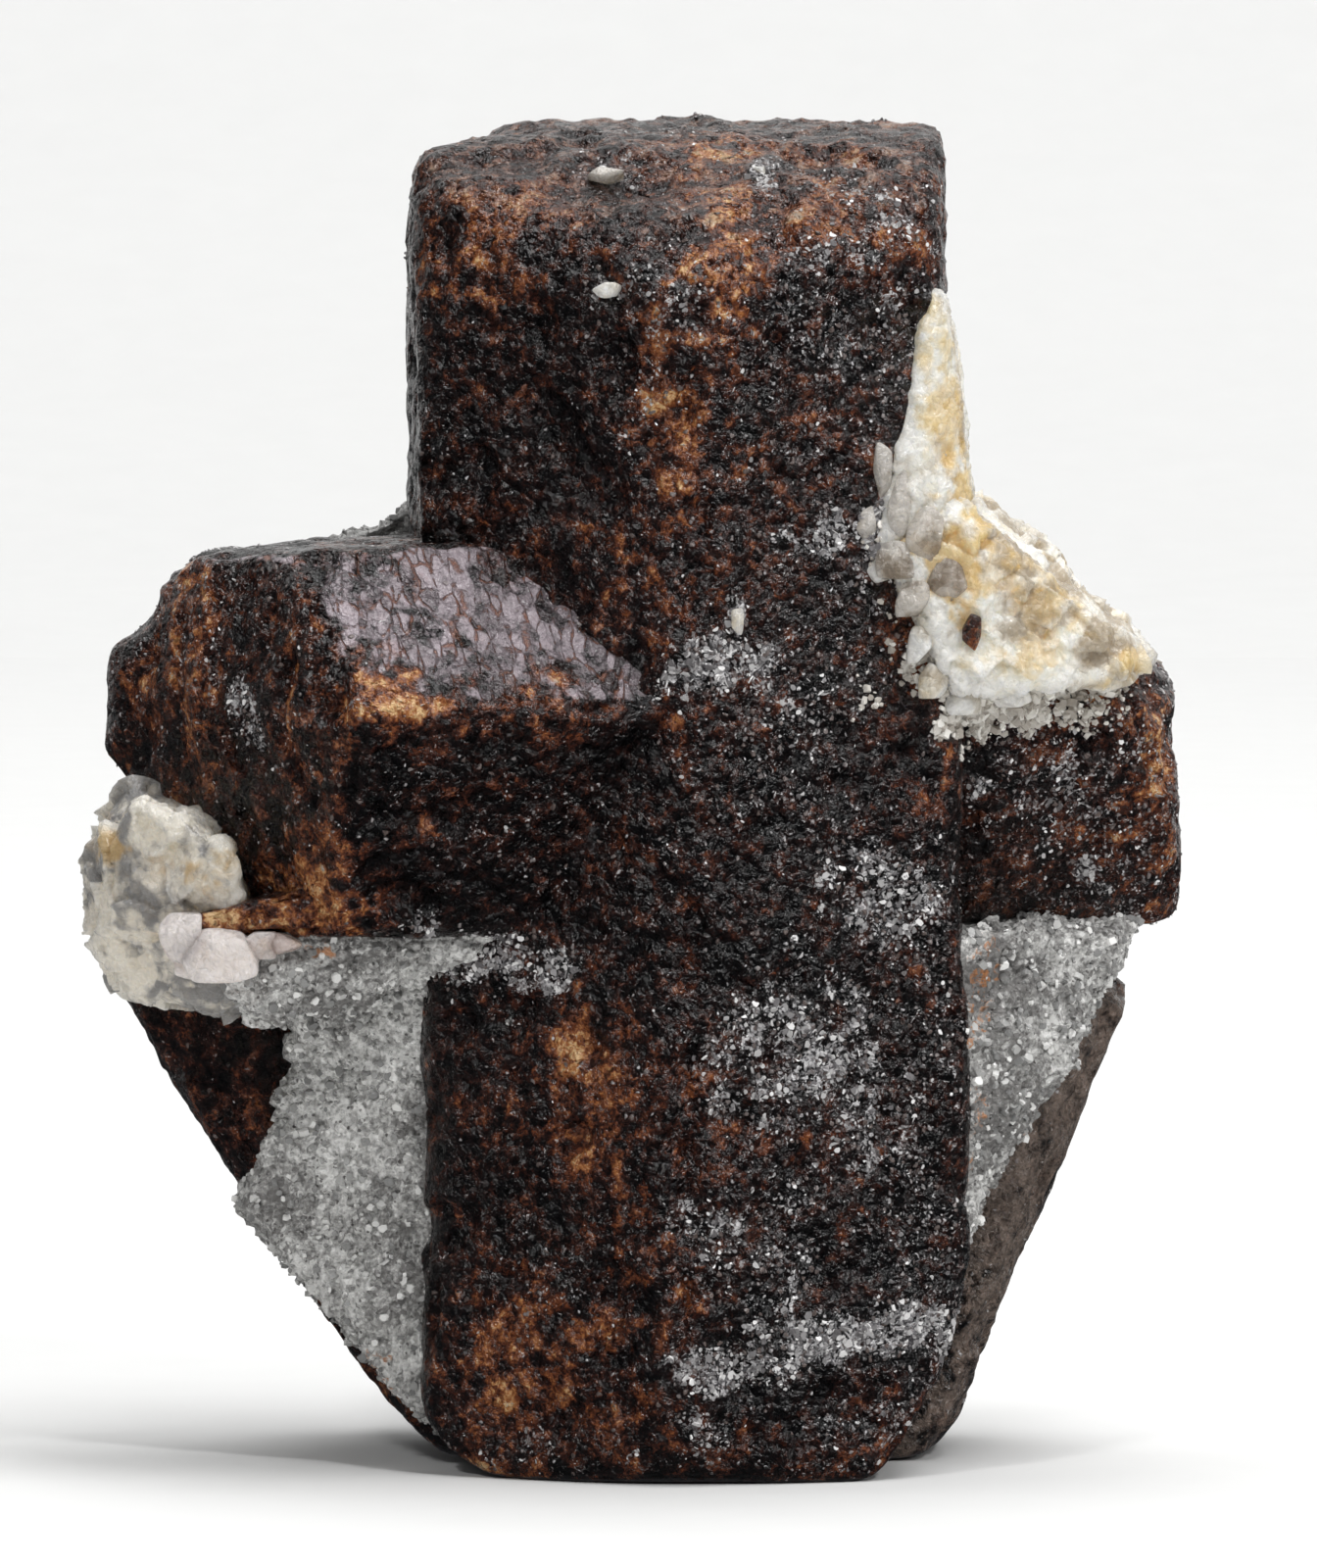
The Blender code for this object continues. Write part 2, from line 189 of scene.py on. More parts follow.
def skin_faces(count, around):
    """The faces of a closed skin of rings, then its two poles: quads between rings and a fan at each pole."""
    here = np.arange(count * around).reshape(count, around)
    beside = np.roll(here, -1, axis=1)
    quads = np.stack([here[:-1], beside[:-1], beside[1:], here[1:]], axis=-1).reshape(-1, 4)
    low = np.stack([beside[0], here[0], np.full(around, count * around)], axis=-1)
    high = np.stack([here[-1], beside[-1], np.full(around, count * around + 1)], axis=-1)
    fans = np.concatenate([low, high])
    return np.concatenate([quads.ravel(), fans.ravel()]), np.repeat([4, 3], [len(quads), len(fans)])


def new_piece(name, points, corners, sizes, marks, material, node, rounded=True):
    """A mesh piece from points in millimetres, its faces' corners and sizes, and a mark for each point."""
    mesh = bpy.data.meshes.new(name)
    mesh.vertices.add(len(points))
    mesh.vertices.foreach_set("co", (points * MM).ravel())
    mesh.loops.add(len(corners))
    mesh.loops.foreach_set("vertex_index", corners)
    mesh.polygons.add(len(sizes))
    mesh.polygons.foreach_set("loop_start", np.cumsum(sizes) - sizes)
    mesh.polygons.foreach_set("use_smooth", np.full(len(sizes), rounded))
    mesh.update(calc_edges=True)
    for mark, values in marks.items():
        mesh.attributes.new(mark, "FLOAT", "POINT").data.foreach_set("value", values.astype(np.float32))
    mesh.materials.append(material)
    piece = bpy.data.objects.new(name, mesh)
    bpy.context.scene.collection.objects.link(piece)
    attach(piece, "root")
    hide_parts(node)


def closed_skin(name, rings, poles, marks, material, node):
    """A closed piece from rings of points and two poles, with a mark for each ring point."""
    corners, sizes = skin_faces(*rings.shape[:2])
    points = np.concatenate([rings.reshape(-1, 3), poles])
    marks = {mark: np.append(values.ravel(), [0.0, 0.0]) for mark, values in marks.items()}
    new_piece(name, points, corners, sizes, marks, material, node)


def colour(red, green, blue):
    """A display colour of 0 to 255 a channel, as the linear values that a shader takes."""
    channels = np.array([red, green, blue]) / 255.0
    linear = np.where(channels < 0.04045, channels / 12.92, ((channels + 0.055) / 1.055) ** 2.4)
    return (*linear, 1.0)


class Finish:
    """One material's node tree, with short calls for the nodes that mineral finishes are built from."""

    def __init__(self, name, roughness, ior):
        self.material = bpy.data.materials.new(name)
        self.material.use_nodes = True
        self.tree = self.material.node_tree
        self.shader = self.tree.nodes["Principled BSDF"]
        self.shader.inputs["Roughness"].default_value = roughness
        self.shader.inputs["IOR"].default_value = ior
        self.place = self.add("ShaderNodeTexCoord").outputs["Object"]

    def add(self, kind, inputs=None, **settings):
        """A node with these settings, its inputs set to values or linked from sockets."""
        made = self.tree.nodes.new(kind)
        for key, value in settings.items():
            setattr(made, key, value)
        for key, value in (inputs or {}).items():
            if isinstance(value, bpy.types.NodeSocket):
                self.tree.links.new(value, made.inputs[key])
            else:
                made.inputs[key].default_value = value
        return made

    def cloud(self, size, detail=3.0, roughness=0.6, stretch=None):
        """Noise about 0.5 with features this many millimetres across."""
        place = self.place
        if stretch:
            place = self.add("ShaderNodeMapping", {"Vector": place, "Scale": stretch}).outputs[0]
        settings = {"Vector": place, "Scale": 1.0 / (size * MM), "Detail": detail, "Roughness": roughness}
        return self.add("ShaderNodeTexNoise", settings).outputs["Fac"]

    def cells(self, size, feature="F1"):
        """Grains this many millimetres across: their distance field and their random colour."""
        inputs = {"Vector": self.place, "Scale": 1.0 / (size * MM)}
        made = self.add("ShaderNodeTexVoronoi", inputs, feature=feature)
        return made.outputs["Distance"], made.outputs.get("Color")

    def mark(self, name):
        """A mark that the mesh carries."""
        return self.add("ShaderNodeAttribute", attribute_name=name).outputs["Fac"]

    def sum(self, first, second, weight=1.0):
        """first + second * weight."""
        inputs = {0: second, 1: weight, 2: first}
        return self.add("ShaderNodeMath", inputs, operation="MULTIPLY_ADD").outputs[0]

    def times(self, first, second):
        """first * second."""
        return self.add("ShaderNodeMath", {0: first, 1: second}, operation="MULTIPLY").outputs[0]

    def step(self, value, low, high, to_low=0.0, to_high=1.0):
        """An S-curve from to_low to to_high as value goes from low to high."""
        inputs = {"Value": value, "From Min": low, "From Max": high, "To Min": to_low, "To Max": to_high}
        return self.add("ShaderNodeMapRange", inputs, interpolation_type="SMOOTHSTEP").outputs[0]

    def mix(self, share, first, second):
        """first towards second by share."""
        made = self.add("ShaderNodeMix", data_type="RGBA")
        for socket, value in ((made.inputs[0], share), (made.inputs[6], first), (made.inputs[7], second)):
            if isinstance(value, bpy.types.NodeSocket):
                self.tree.links.new(value, socket)
            else:
                socket.default_value = value
        return made.outputs[2]

    def warp(self, size, amount):
        """Pushes the place of every later pattern by up to this many millimetres, so rims turn ragged."""
        inputs = {"Vector": self.place, "Scale": 1.0 / (size * MM), "Detail": 1.0}
        pushed = self.add("ShaderNodeTexNoise", inputs)
        inputs = {0: pushed.outputs["Color"], 1: (-0.5, -0.5, -0.5)}
        centred = self.add("ShaderNodeVectorMath", inputs, operation="ADD")
        inputs = {0: centred.outputs[0], 1: (amount * MM,) * 3, 2: self.place}
        self.place = self.add("ShaderNodeVectorMath", inputs, operation="MULTIPLY_ADD").outputs[0]

    def ramp(self, value, stops):
        """The colour that value has on a line through these stops of value and colour."""
        low, high = stops[0][0], stops[-1][0]
        share = self.add("ShaderNodeMapRange", {"Value": value, "From Min": low, "From Max": high}).outputs[0]
        made = self.add("ShaderNodeValToRGB", {0: share})
        line = made.color_ramp
        line.elements[0].color = stops[0][1]
        line.elements[1].color = stops[-1][1]
        for at, tint in stops[1:-1]:
            line.elements.new((at - low) / (high - low)).color = tint
        return made.outputs[0]

    def numbers_of(self, cell_colour):
        """Two random numbers from a grain's random colour."""
        made = self.add("ShaderNodeSeparateColor", {0: cell_colour})
        return made.outputs[0], made.outputs[1]

    def facets(self, cell_colour, lean):
        """The surface's normal, leant by each grain's own random amount, so that grains glint one by one."""
        centred = self.add("ShaderNodeVectorMath", {0: cell_colour, 1: (-0.5, -0.5, -0.5)}, operation="ADD")
        scaled = self.add("ShaderNodeVectorMath", {0: centred.outputs[0], "Scale": lean}, operation="SCALE")
        normal = self.add("ShaderNodeNewGeometry").outputs["Normal"]
        leant = self.add("ShaderNodeVectorMath", {0: normal, 1: scaled.outputs[0]}, operation="ADD")
        return self.add("ShaderNodeVectorMath", {0: leant.outputs[0]}, operation="NORMALIZE").outputs[0]

    def let_light_in(self, weight, radius):
        """Light that goes in comes out again up to this many millimetres away, a channel at a time."""
        self.shader.inputs["Subsurface Weight"].default_value = weight
        self.shader.inputs["Subsurface Radius"].default_value = radius
        self.shader.inputs["Subsurface Scale"].default_value = MM

    def finish(self, base, roughness, height, depth, normal):
        """Links colour, roughness and bump, its depth in millimetres, to the shader."""
        self.tree.links.new(base, self.shader.inputs["Base Color"])
        self.tree.links.new(roughness, self.shader.inputs["Roughness"])
        inputs = {"Strength": 1.0, "Distance": depth * MM, "Height": height, "Normal": normal}
        bump = self.add("ShaderNodeBump", inputs)
        self.tree.links.new(bump.outputs[0], self.shader.inputs["Normal"])
        return self.material


MIDDLE_GREY = (0.5, 0.5, 0.5, 1.0)


def staurolite_finish(name, cracked):
    """Near-black brown staurolite: glossy grain by grain, rusty where marked, and flecked with pale mica and
    painted glints.

    One heat value, from the marks and noise, runs from black through mahogany and rust to ochre. Where the
    painted sheen mark is strong the skin is painted a paler grey-brown, a sheen painted into the colour. On a
    cracked crystal this painted sheen is purplish, and the skin is broken into plates that lean together,
    long up the slope, with dark cracks between them.
    """
    f = Finish(name, 0.2, 1.60)
    f.shader.inputs["Specular IOR Level"].default_value = 0.42
    f.warp(0.16, 0.14)
    fine = f.cloud(0.10, 2.0, 0.7)
    coarse = f.cloud(0.46, 4.0, 0.70)
    distance, grain = f.cells(0.15)
    wide_distance, wide_grain = f.cells(0.30)
    lot, luck = f.numbers_of(grain)
    wide_lot, wide_luck = f.numbers_of(wide_grain)
    grit, mica, painted_sheen = f.mark("grit"), f.mark("mica"), f.mark("painted_sheen")
    ragged = f.sum(f.sum(f.times(coarse, 2.9), fine, 1.2), wide_lot, 0.40)
    heat = f.sum(f.sum(ragged, f.mark("tone"), 0.10), grit, 0.12)
    heat = f.sum(f.sum(heat, f.mark("rust"), 0.52), f.mark("ochre"), 0.44)
    body = f.ramp(heat, [
        (2.05, colour(4, 3, 4)), (2.45, colour(24, 12, 11)), (2.75, colour(58, 29, 21)),
        (3.05, colour(112, 62, 38)), (3.30, colour(162, 104, 60)), (3.65, colour(220, 182, 132)),
    ])
    leaning = f.mix(f.step(grit, 0.1, 0.8, 0.50, 0.0), grain, MIDDLE_GREY)
    relief = f.sum(f.times(fine, 0.08), wide_distance, -0.13)
    # Painted sheen: where its mark is strong the colour is painted towards a paler grey-brown
    sheen_cover = f.step(f.sum(f.sum(painted_sheen, coarse, 2.0), wide_lot, 0.35), 1.50, 2.10, 0.0, 0.85)
    plate_luck = f.step(f.sum(f.times(wide_luck, 0.2), f.sum(fine, coarse, 1.4), 0.6), 0.40, 1.15)
    dull, bright = colour(52, 42, 37), colour(138, 123, 113)
    if cracked:
        dull, bright = colour(36, 26, 27), colour(172, 160, 166)
        f.place = f.add("ShaderNodeCombineXYZ", {0: f.mark("along"), 1: f.mark("upslope")}).outputs[0]
        f.warp(0.45, 0.42)
        rim, _ = f.cells(0.34, "DISTANCE_TO_EDGE")
        _, plate = f.cells(0.34)
        _, plate_luck = f.numbers_of(plate)
        fibre = f.cloud(0.10, 3.0, 0.75, (1.0, 0.5, 1.0))
        plate_luck = f.sum(f.times(plate_luck, 0.6), f.sum(fibre, coarse, 1.6), 0.55)
        plate_luck = f.step(plate_luck, 0.55, 1.30)
        on_slope = f.step(painted_sheen, 0.2, 0.5)
        broken = f.times(f.step(coarse, 0.42, 0.56), on_slope)
        crack = f.times(f.step(f.sum(rim, fine, 0.16), 0.08, 0.17, 1.0, 0.0), broken)
        leaning = f.mix(on_slope, leaning, f.mix(0.62, f.mix(0.35, plate, grain), MIDDLE_GREY))
        relief = f.sum(f.times(relief, f.step(painted_sheen, 0.2, 0.5, 1.0, 0.45)), f.sum(crack, fibre, -0.5), -0.07)
    # The painted sheen goes into the colour here
    body = f.mix(sheen_cover, body, f.mix(plate_luck, dull, bright))
    if cracked:
        in_crack = f.mix(f.step(coarse, 0.45, 0.6), colour(26, 16, 14), colour(120, 70, 42))
        body = f.mix(f.times(crack, 0.8), body, in_crack)
    height = f.sum(f.sum(relief, distance, -0.05), coarse, 0.14)
    cover = f.sum(f.sum(f.times(mica, 0.52), f.sum(coarse, fine, 1.5), 1.2), wide_luck, 0.45)
    flaked = f.step(cover, 2.18, 2.40, 0.0, 0.85)
    flake = f.mix(f.times(lot, f.step(fine, 0.35, 0.62)), colour(68, 66, 69), colour(241, 239, 240))
    body = f.mix(flaked, body, flake)
    # Pale flecks, grey to near-white: pale mica grains and painted glints
    rim_of_fleck = f.sum(f.sum(distance, fine, 0.5), luck, 0.30)
    fleck_chosen = f.step(f.sum(f.sum(mica, grit, 0.015), lot, -1.0), -0.02, 0.02)
    mica_fleck_and_painted_glint = f.times(fleck_chosen, f.step(rim_of_fleck, 0.60, 0.78, 1.0, 0.0))
    body = f.mix(mica_fleck_and_painted_glint, body, f.mix(f.times(luck, luck), colour(104, 92, 88), colour(244, 243, 246)))
    shine = f.step(f.sum(luck, fine, 0.8), 0.2, 1.3, 0.05, 0.28)
    height = f.sum(f.sum(height, mica_fleck_and_painted_glint, 0.02), flaked, 0.03)
    return f.finish(body, shine, height, 1.0, f.facets(leaning, 1.05))


# Marks on the crystals, each as seen from the front: middle (x, z), half sizes, and how strong it is
MICA_PATCHES = [
    (1.6, 18.5, 1, 0.6, 1.2), (5.6, 21.2, 1.7, 1.1, 1.25), (4, 9.8, 1.9, 1.5, 0.95),
    (2.6, 10.6, 0.6, 0.9, 0.6), (1.6, 5.9, 0.8, 0.7, 0.75), (3.6, 6.3, 0.6, 1.6, 0.6),
    (5, 3.4, 2.5, 0.5, 1.35), (2.4, 2.8, 1.5, 0.5, 1.1), (1.35, 1.6, 0.4, 0.7, 0.8),
    (5.9, 13.3, 1.1, 1.2, 0.85), (-3.3, 12.1, 1.9, 0.6, 1), (5.2, 8.4, 0.6, 0.9, 0.6),
    (3, 29.6, 0.3, 0.5, 1), (-0.7, 30, 0.6, 0.45, 0.8), (-0.7, 27, 0.4, 0.3, 1.2),
    (2.4, 19.9, 0.2, 0.4, 1.3), (3.6, 16.6, 2.6, 2.2, 0.22), (5, 28.6, 1.4, 1.1, 0.5),
    (6.3, 8, 1, 4.5, 0.25), (5.8, 1.4, 2, 0.7, 0.4), (0.9, 26.4, 1.4, 1.3, 0.45),
    (0.6, 24.9, 0.8, 0.8, 0.4), (-1.5, 0.7, 2.6, 0.5, 0.5), (9.5, 15.4, 2.6, 2, 0.2),
    (8, 15.8, 0.4, 0.5, 0.8), (10.4, 13.7, 0.4, 0.4, 0.9), (6.6, 18.2, 0.4, 0.3, 1),
    (-8.7, 17.6, 0.3, 0.5, 0.7), (0, 23, 1, 3, 0.15), (-5.2, 18.6, 1.6, 0.9, 0.16),
    (4, 24.4, 2.6, 3.4, 0.16),
]
RUST_PATCHES = [
    (-2.4, 27.2, 2.9, 0.8, 0.8), (2.2, 28.5, 1.2, 2, 1), (0.9, 24.6, 0.8, 2.4, 0.85),
    (-4.2, 26, 0.7, 1.6, 0.4), (0.3, 20.8, 0.9, 1.7, 0.75), (4.8, 28.6, 1.9, 1.2, 0.7),
    (-2.6, 28.6, 1.9, 0.9, 0.6), (-2.4, 17.8, 3, 0.7, 0.85), (-5.3, 18.2, 0.9, 1, 1),
    (-0.9, 9.8, 1.2, 1.1, 0.75), (-1, 7.2, 1.2, 0.7, 0.6), (-2.6, 2.4, 2.2, 2.3, 0.85),
    (-0.2, 4.6, 0.5, 1.6, 0.6), (1.4, 8.2, 2.2, 1.9, 0.26), (5.3, 28.2, 1.6, 1.6, 0.45),
    (-7.9, 17.4, 0.35, 1.5, 0.8), (-6.6, 17.5, 0.3, 2.6, 0.5), (-9.9, 17, 0.3, 2, 0.4),
    (-7.6, 13.2, 1.9, 0.8, 1.1), (-9.2, 12.9, 1.4, 0.6, 1.3), (-7, 14.4, 0.7, 0.8, 0.8),
    (-10.2, 20.4, 0.5, 0.5, 0.9), (-11.6, 18.1, 0.3, 0.4, 0.9), (12.1, 16.4, 0.6, 2.2, 0.95),
    (6.4, 18.6, 0.5, 2, 0.85), (7, 16.2, 0.4, 1.4, 0.85), (9.4, 17, 0.4, 0.8, 0.6),
    (10.2, 14.6, 0.25, 1, 0.7), (-8.8, 10.9, 1, 0.6, 1), (5.8, 5.6, 0.9, 0.5, 0.5),
    (-4.4, 16.6, 0.7, 1.8, 0.4), (3, 0.9, 2.4, 0.5, 0.5), (7, 24.2, 0.35, 2.8, 0.9),
    (6.3, 21.6, 0.4, 1, 0.7), (-1.2, 8.6, 1.7, 2.4, 0.22),
]
OCHRE_PATCHES = [
    (2.3, 29.2, 0.5, 0.9, 0.7), (-5.5, 18.1, 0.6, 0.45, 0.72), (-4.5, 17.8, 0.6, 0.3, 0.8),
    (-2.2, 18.1, 0.7, 0.35, 0.8), (-1.35, 10.1, 0.4, 0.6, 0.85), (-0.6, 9.3, 0.4, 0.3, 0.7),
    (-0.9, 7.4, 0.5, 0.4, 0.7), (1.9, 9.4, 0.25, 0.3, 0.8), (-3.2, 1.9, 0.7, 0.5, 0.8),
    (-3.9, 5.6, 0.25, 1, 0.5), (-9.6, 12.85, 0.5, 0.3, 1), (-0.4, 19.8, 0.35, 0.4, 0.6),
    (-3.6, 27.8, 0.7, 0.3, 0.6), (11.9, 18.4, 0.5, 0.8, 0.7), (2, 27, 0.6, 1.1, 0.8),
    (0.9, 24.6, 0.5, 1.2, 0.6), (-8.9, 11, 0.7, 0.35, 0.8), (10.7, 17.6, 0.4, 0.35, 0.7),
    (-1, 8.8, 1.5, 2, 0.24), (1.6, 24.6, 0.8, 3.4, 0.4), (-2, 2.6, 1.8, 1.8, 0.4),
]


def patches(points, outward, places, seed, everywhere):
    """The strongest patch at each point, fading from its middle to a rim that noise pushes in and out.

    They count on faces that look to the front. Other faces take clouds of noise as strong as everywhere.
    """
    ragged = rough_noise(points, 1.1, seed, 4, 0.75) * 0.85
    found = np.zeros(points.shape[:-1])
    for x, z, half_x, half_z, strength in places:
        off = np.hypot((points[..., 0] - x) / half_x, (points[..., 2] - z) / half_z)
        found = np.maximum(found, strength * smooth(1.45, 0.15, off + ragged))
    front = smooth(-0.15, 0.25, -outward[..., 1])
    clouds = smooth(0.10, 0.75, rough_noise(points, 3.0, seed + 11, 4)) * everywhere
    return found * front + clouds * (1.0 - 0.6 * front)


def weathered(points, outward, edge, seed, ribs):
    """A crystal's surface, moved along its normals: swells, chips at the edges, pits and a grainy skin.

    A broken left end also has upright ribs of this height.
    """
    swell = rough_noise(points, 4.0, seed, 3) * 0.11
    chips = smooth(0.05, 0.60, noise(points, 1.3, seed + 20)) * smooth(0.05, 0.45, edge) * 0.26
    hollows = smooth(0.20, 0.70, noise(points, 0.9, seed + 30)) * 0.16
    dome, number, _ = grain_cells(points, 0.62, seed + 40)
    small_dome, small_number, _ = grain_cells(points, 0.36, seed + 45)
    skin = rough_noise(points, 0.7, seed + 50, 3, 0.6) * 0.045 + dome * (number - 0.35) * 0.09
    skin = skin + small_dome * (small_number - 0.4) * 0.05
    height = swell - chips - hollows + skin * (0.75 + 0.7 * smooth(26.0, 29.0, points[..., 2]))
    upright = rough_noise(points * np.array([1.0, 1.0, 0.07]), 0.9, seed + 60, 3, 0.6)
    height = height + upright * smooth(0.45, 0.7, -outward[..., 0]) * ribs
    above_foot = smooth(0.05, 0.8, points[..., 2])
    moved = points + outward * (height * above_foot)[..., None]
    moved[..., 2] = np.maximum(moved[..., 2], 0.0)
    return moved


def crystal(name, faces, rays, seed, material, marks_of, wear, top_wear=0.0, ribs=0.0):
    """One staurolite crystal as a closed piece: its worn block, weathered, with its marks.

    Returns the skin's points, its outward normals and its mica mark, for what is stuck to it.
    """
    origins, directions, (pole_origins, pole_rays) = rays
    sharpness = wear * np.exp(0.45 * noise(origins + directions * 6.0, 3.0, seed + 3))
    shoulder = smooth(0.05, 0.5, directions[..., 2]) * smooth(0.0, 0.6, -directions[..., 1])
    sharpness = sharpness * (1.0 - top_wear * shoulder)
    points, outward, edge = worn_block(faces, origins, directions, sharpness)
    pole_sharpness = np.full(2, wear)
    pole_points, pole_outward, pole_edge = worn_block(faces, pole_origins, pole_rays, pole_sharpness)
    marks = marks_of(points, outward, edge)
    skin = weathered(points, outward, edge, seed, ribs)
    tips = weathered(pole_points, pole_outward, pole_edge, seed, ribs)
    closed_skin(name, skin, tips, marks, material, "staurolite_cross")
    return skin, outward, marks["mica"]


def upright_marks(points, outward, edge):
    """Mica over the right half, rust on worn edges and at the named places, and ochre in the worst of it."""
    tone = rough_noise(points, 2.6, 60, 5, 0.7)
    clusters = smooth(-0.5, 0.7, rough_noise(points, 1.5, 64, 4, 0.7))
    right = smooth(-1.5, 4.0, points[..., 0])
    top = smooth(27.0, 29.0, points[..., 2])
    mica = patches(points, outward, MICA_PATCHES, 61, 0.35) + (0.015 + 0.13 * right) * (0.25 + 1.3 * clusters)
    rust = patches(points, outward, RUST_PATCHES, 62, 0.65) + edge * 0.45 + top * 0.40
    ochre = patches(points, outward, OCHRE_PATCHES, 63, 0.3)
    # Painted sheen: the upward-facing skin at the top is painted a paler grey-brown
    painted_sheen = top * smooth(0.2, 0.6, outward[..., 2]) * 0.38
    grit = smooth(-0.6, 0.8, rough_noise(points, 1.9, 65, 4, 0.7) + 0.35 * right + 0.5 * top)
    return {"tone": tone, "grit": grit, "mica": mica, "rust": rust, "ochre": ochre, "painted_sheen": painted_sheen}


staurolite = staurolite_finish("staurolite", False)
upright_rays = spindle_rays((1.3, 0.0, 5.0), (1.2, 0.0, 25.0), (0, -1, 0), 310, 190, 62, crowding=0.35)
upright_skin = crystal(
    "upright_crystal", UPRIGHT_FACES, upright_rays, 1, staurolite, upright_marks, 5.5, top_wear=0.66,
)


# Cross crystal
# The second staurolite prism, grown through the first at a right angle. Its left end comes forward and is
# broken off obliquely; its upper front face is shiny and finely cracked, with a purplish painted sheen, and
# its right end is worn.

CROSS_TURN = math.radians(17.7)
CROSS_UPPER_SLOPE = math.radians(39.0)
CROSS_RIDGE_Z = 17.7
CROSS_FRONT = (UPRIGHT_RIDGE_X, -5.8, CROSS_RIDGE_Z)
CROSS_BACK = (UPRIGHT_RIDGE_X, 4.9, CROSS_RIDGE_Z - 0.5)
CROSS_LEFT_EDGE = (-6.2, -8.1, CROSS_RIDGE_Z)
CROSS_AXIS = np.array([math.cos(CROSS_TURN), math.sin(CROSS_TURN), 0.0])
PLATE_STRETCH = 0.42


def cross_face(slope, side):
    """Outward direction of a face that leans up by slope, on the turned front (side -1) or back (side 1)."""
    level = np.array([-side * math.sin(CROSS_TURN), side * math.cos(CROSS_TURN), 0.0])
    return level * math.cos(slope) + np.array([0.0, 0.0, math.sin(slope)])


CROSS_FACES = [
    (cross_face(CROSS_UPPER_SLOPE, -1), CROSS_FRONT),
    (cross_face(-PRISM_SLOPE, -1), CROSS_FRONT),
    (cross_face(SHALLOW_SLOPE, 1), CROSS_BACK),
    (cross_face(-PRISM_SLOPE, 1), CROSS_BACK),
    ((-0.03, 0, 1), (-6, 0, 21.2)),
    ((0, 0, -1), (0, 0, 12.4)),
    ((-0.766, -0.643, -0.2), CROSS_LEFT_EDGE),
    ((-0.766, -0.643, 0.25), CROSS_LEFT_EDGE),
    ((-0.74, 0, 0.67), (-11, 0, 19.9)),
    ((-1, 0, 0), (-11.95, 0, 0)),
    ((0.52, 0, 0.855), (9.3, 0, 19.9)),
    ((0.88, -0.47, 0.05), (11.3, -2.57, CROSS_RIDGE_Z)),
    ((1, 0, 0), (12.5, 0, 0)),
]


def cross_marks(points, outward, edge):
    """The upright's marks, with a purplish painted sheen on the upper front face and streaks on the broken
    end.
    """
    marks = upright_marks(points, outward, edge)
    upper = smooth(0.35, 0.55, outward[..., 2]) * smooth(0.2, 0.5, -outward[..., 1])
    ragged = rough_noise(points, 1.2, 73, 4, 0.7)
    left_part = smooth(2.4, 0.2, points[..., 0])
    # Painted sheen: the upward-facing upper front face is painted a paler purplish grey
    marks["painted_sheen"] = upper * left_part * (0.92 + 0.38 * ragged) - 0.75 * marks["rust"] * upper
    marks["mica"] = marks["mica"] * (1.0 - 0.55 * upper)
    up = cross_face(CROSS_UPPER_SLOPE + math.pi / 2, -1)
    marks["along"] = (points @ CROSS_AXIS) * MM
    marks["upslope"] = (points @ up) * PLATE_STRETCH * MM
    arm = smooth(7.0, 9.0, points[..., 0])
    marks["rust"] = marks["rust"] + 0.36 * arm
    marks["mica"] = marks["mica"] + 0.16 * arm
    end = smooth(0.45, 0.7, -outward[..., 0])
    squeezed = points * np.array([1.0, 1.0, 0.16])
    streaks = smooth(0.05, 0.7, rough_noise(squeezed, 0.9, 71, 3)) * end
    marks["rust"] = marks["rust"] + streaks * 0.50 + end * 0.22
    marks["mica"] = marks["mica"] + end * 0.11
    return marks


cross_middle = np.array([UPRIGHT_RIDGE_X, -0.45, 16.9])
cross_ends = cross_middle - CROSS_AXIS * 9.2, cross_middle + CROSS_AXIS * 8.4
cross_rays = spindle_rays(*cross_ends, (0, -1, 0), 290, 170, 62, crowding=0.35)
cracked_staurolite = staurolite_finish("cracked_staurolite", True)
cross_skin = crystal(
    "cross_crystal", CROSS_FACES, cross_rays, 2, cracked_staurolite, cross_marks, 6.5, ribs=0.13,
)


# Rusty ledge
# The lower front edge of the left arm runs on to the left as a thin rust-stained tongue of staurolite.

LEDGE_FACES = [
    ((-0.24, -0.05, 1), (-6.4, -5.4, 13.75)),
    ((0.02, -0.25, -1), (-7, -5.3, 12.5)),
    ((-0.1, -1, 0), (-6.2, -5.55, 13)),
    ((-1, -0.1, 0.2), (-10.1, -5, 12.8)),
    ((-0.5, 0.6, 0), (-9.6, -4.2, 12.8)),
    ((0, 1, 0), (-8, -2.6, 13)),
    ((1, 0, 0), (-4.8, 0, 0)),
]
ledge_rays = spindle_rays((-9.2, -4.4, 12.8), (-5.8, -4.4, 12.95), (0, -1, 0), 140, 120, 24)
ledge_skin = crystal("rusty_ledge", LEDGE_FACES, ledge_rays, 12, staurolite, upright_marks, 16.0)


# Rear crystal
# A broader third individual behind the foot. Only its weathered sides show from the front, past the schist.

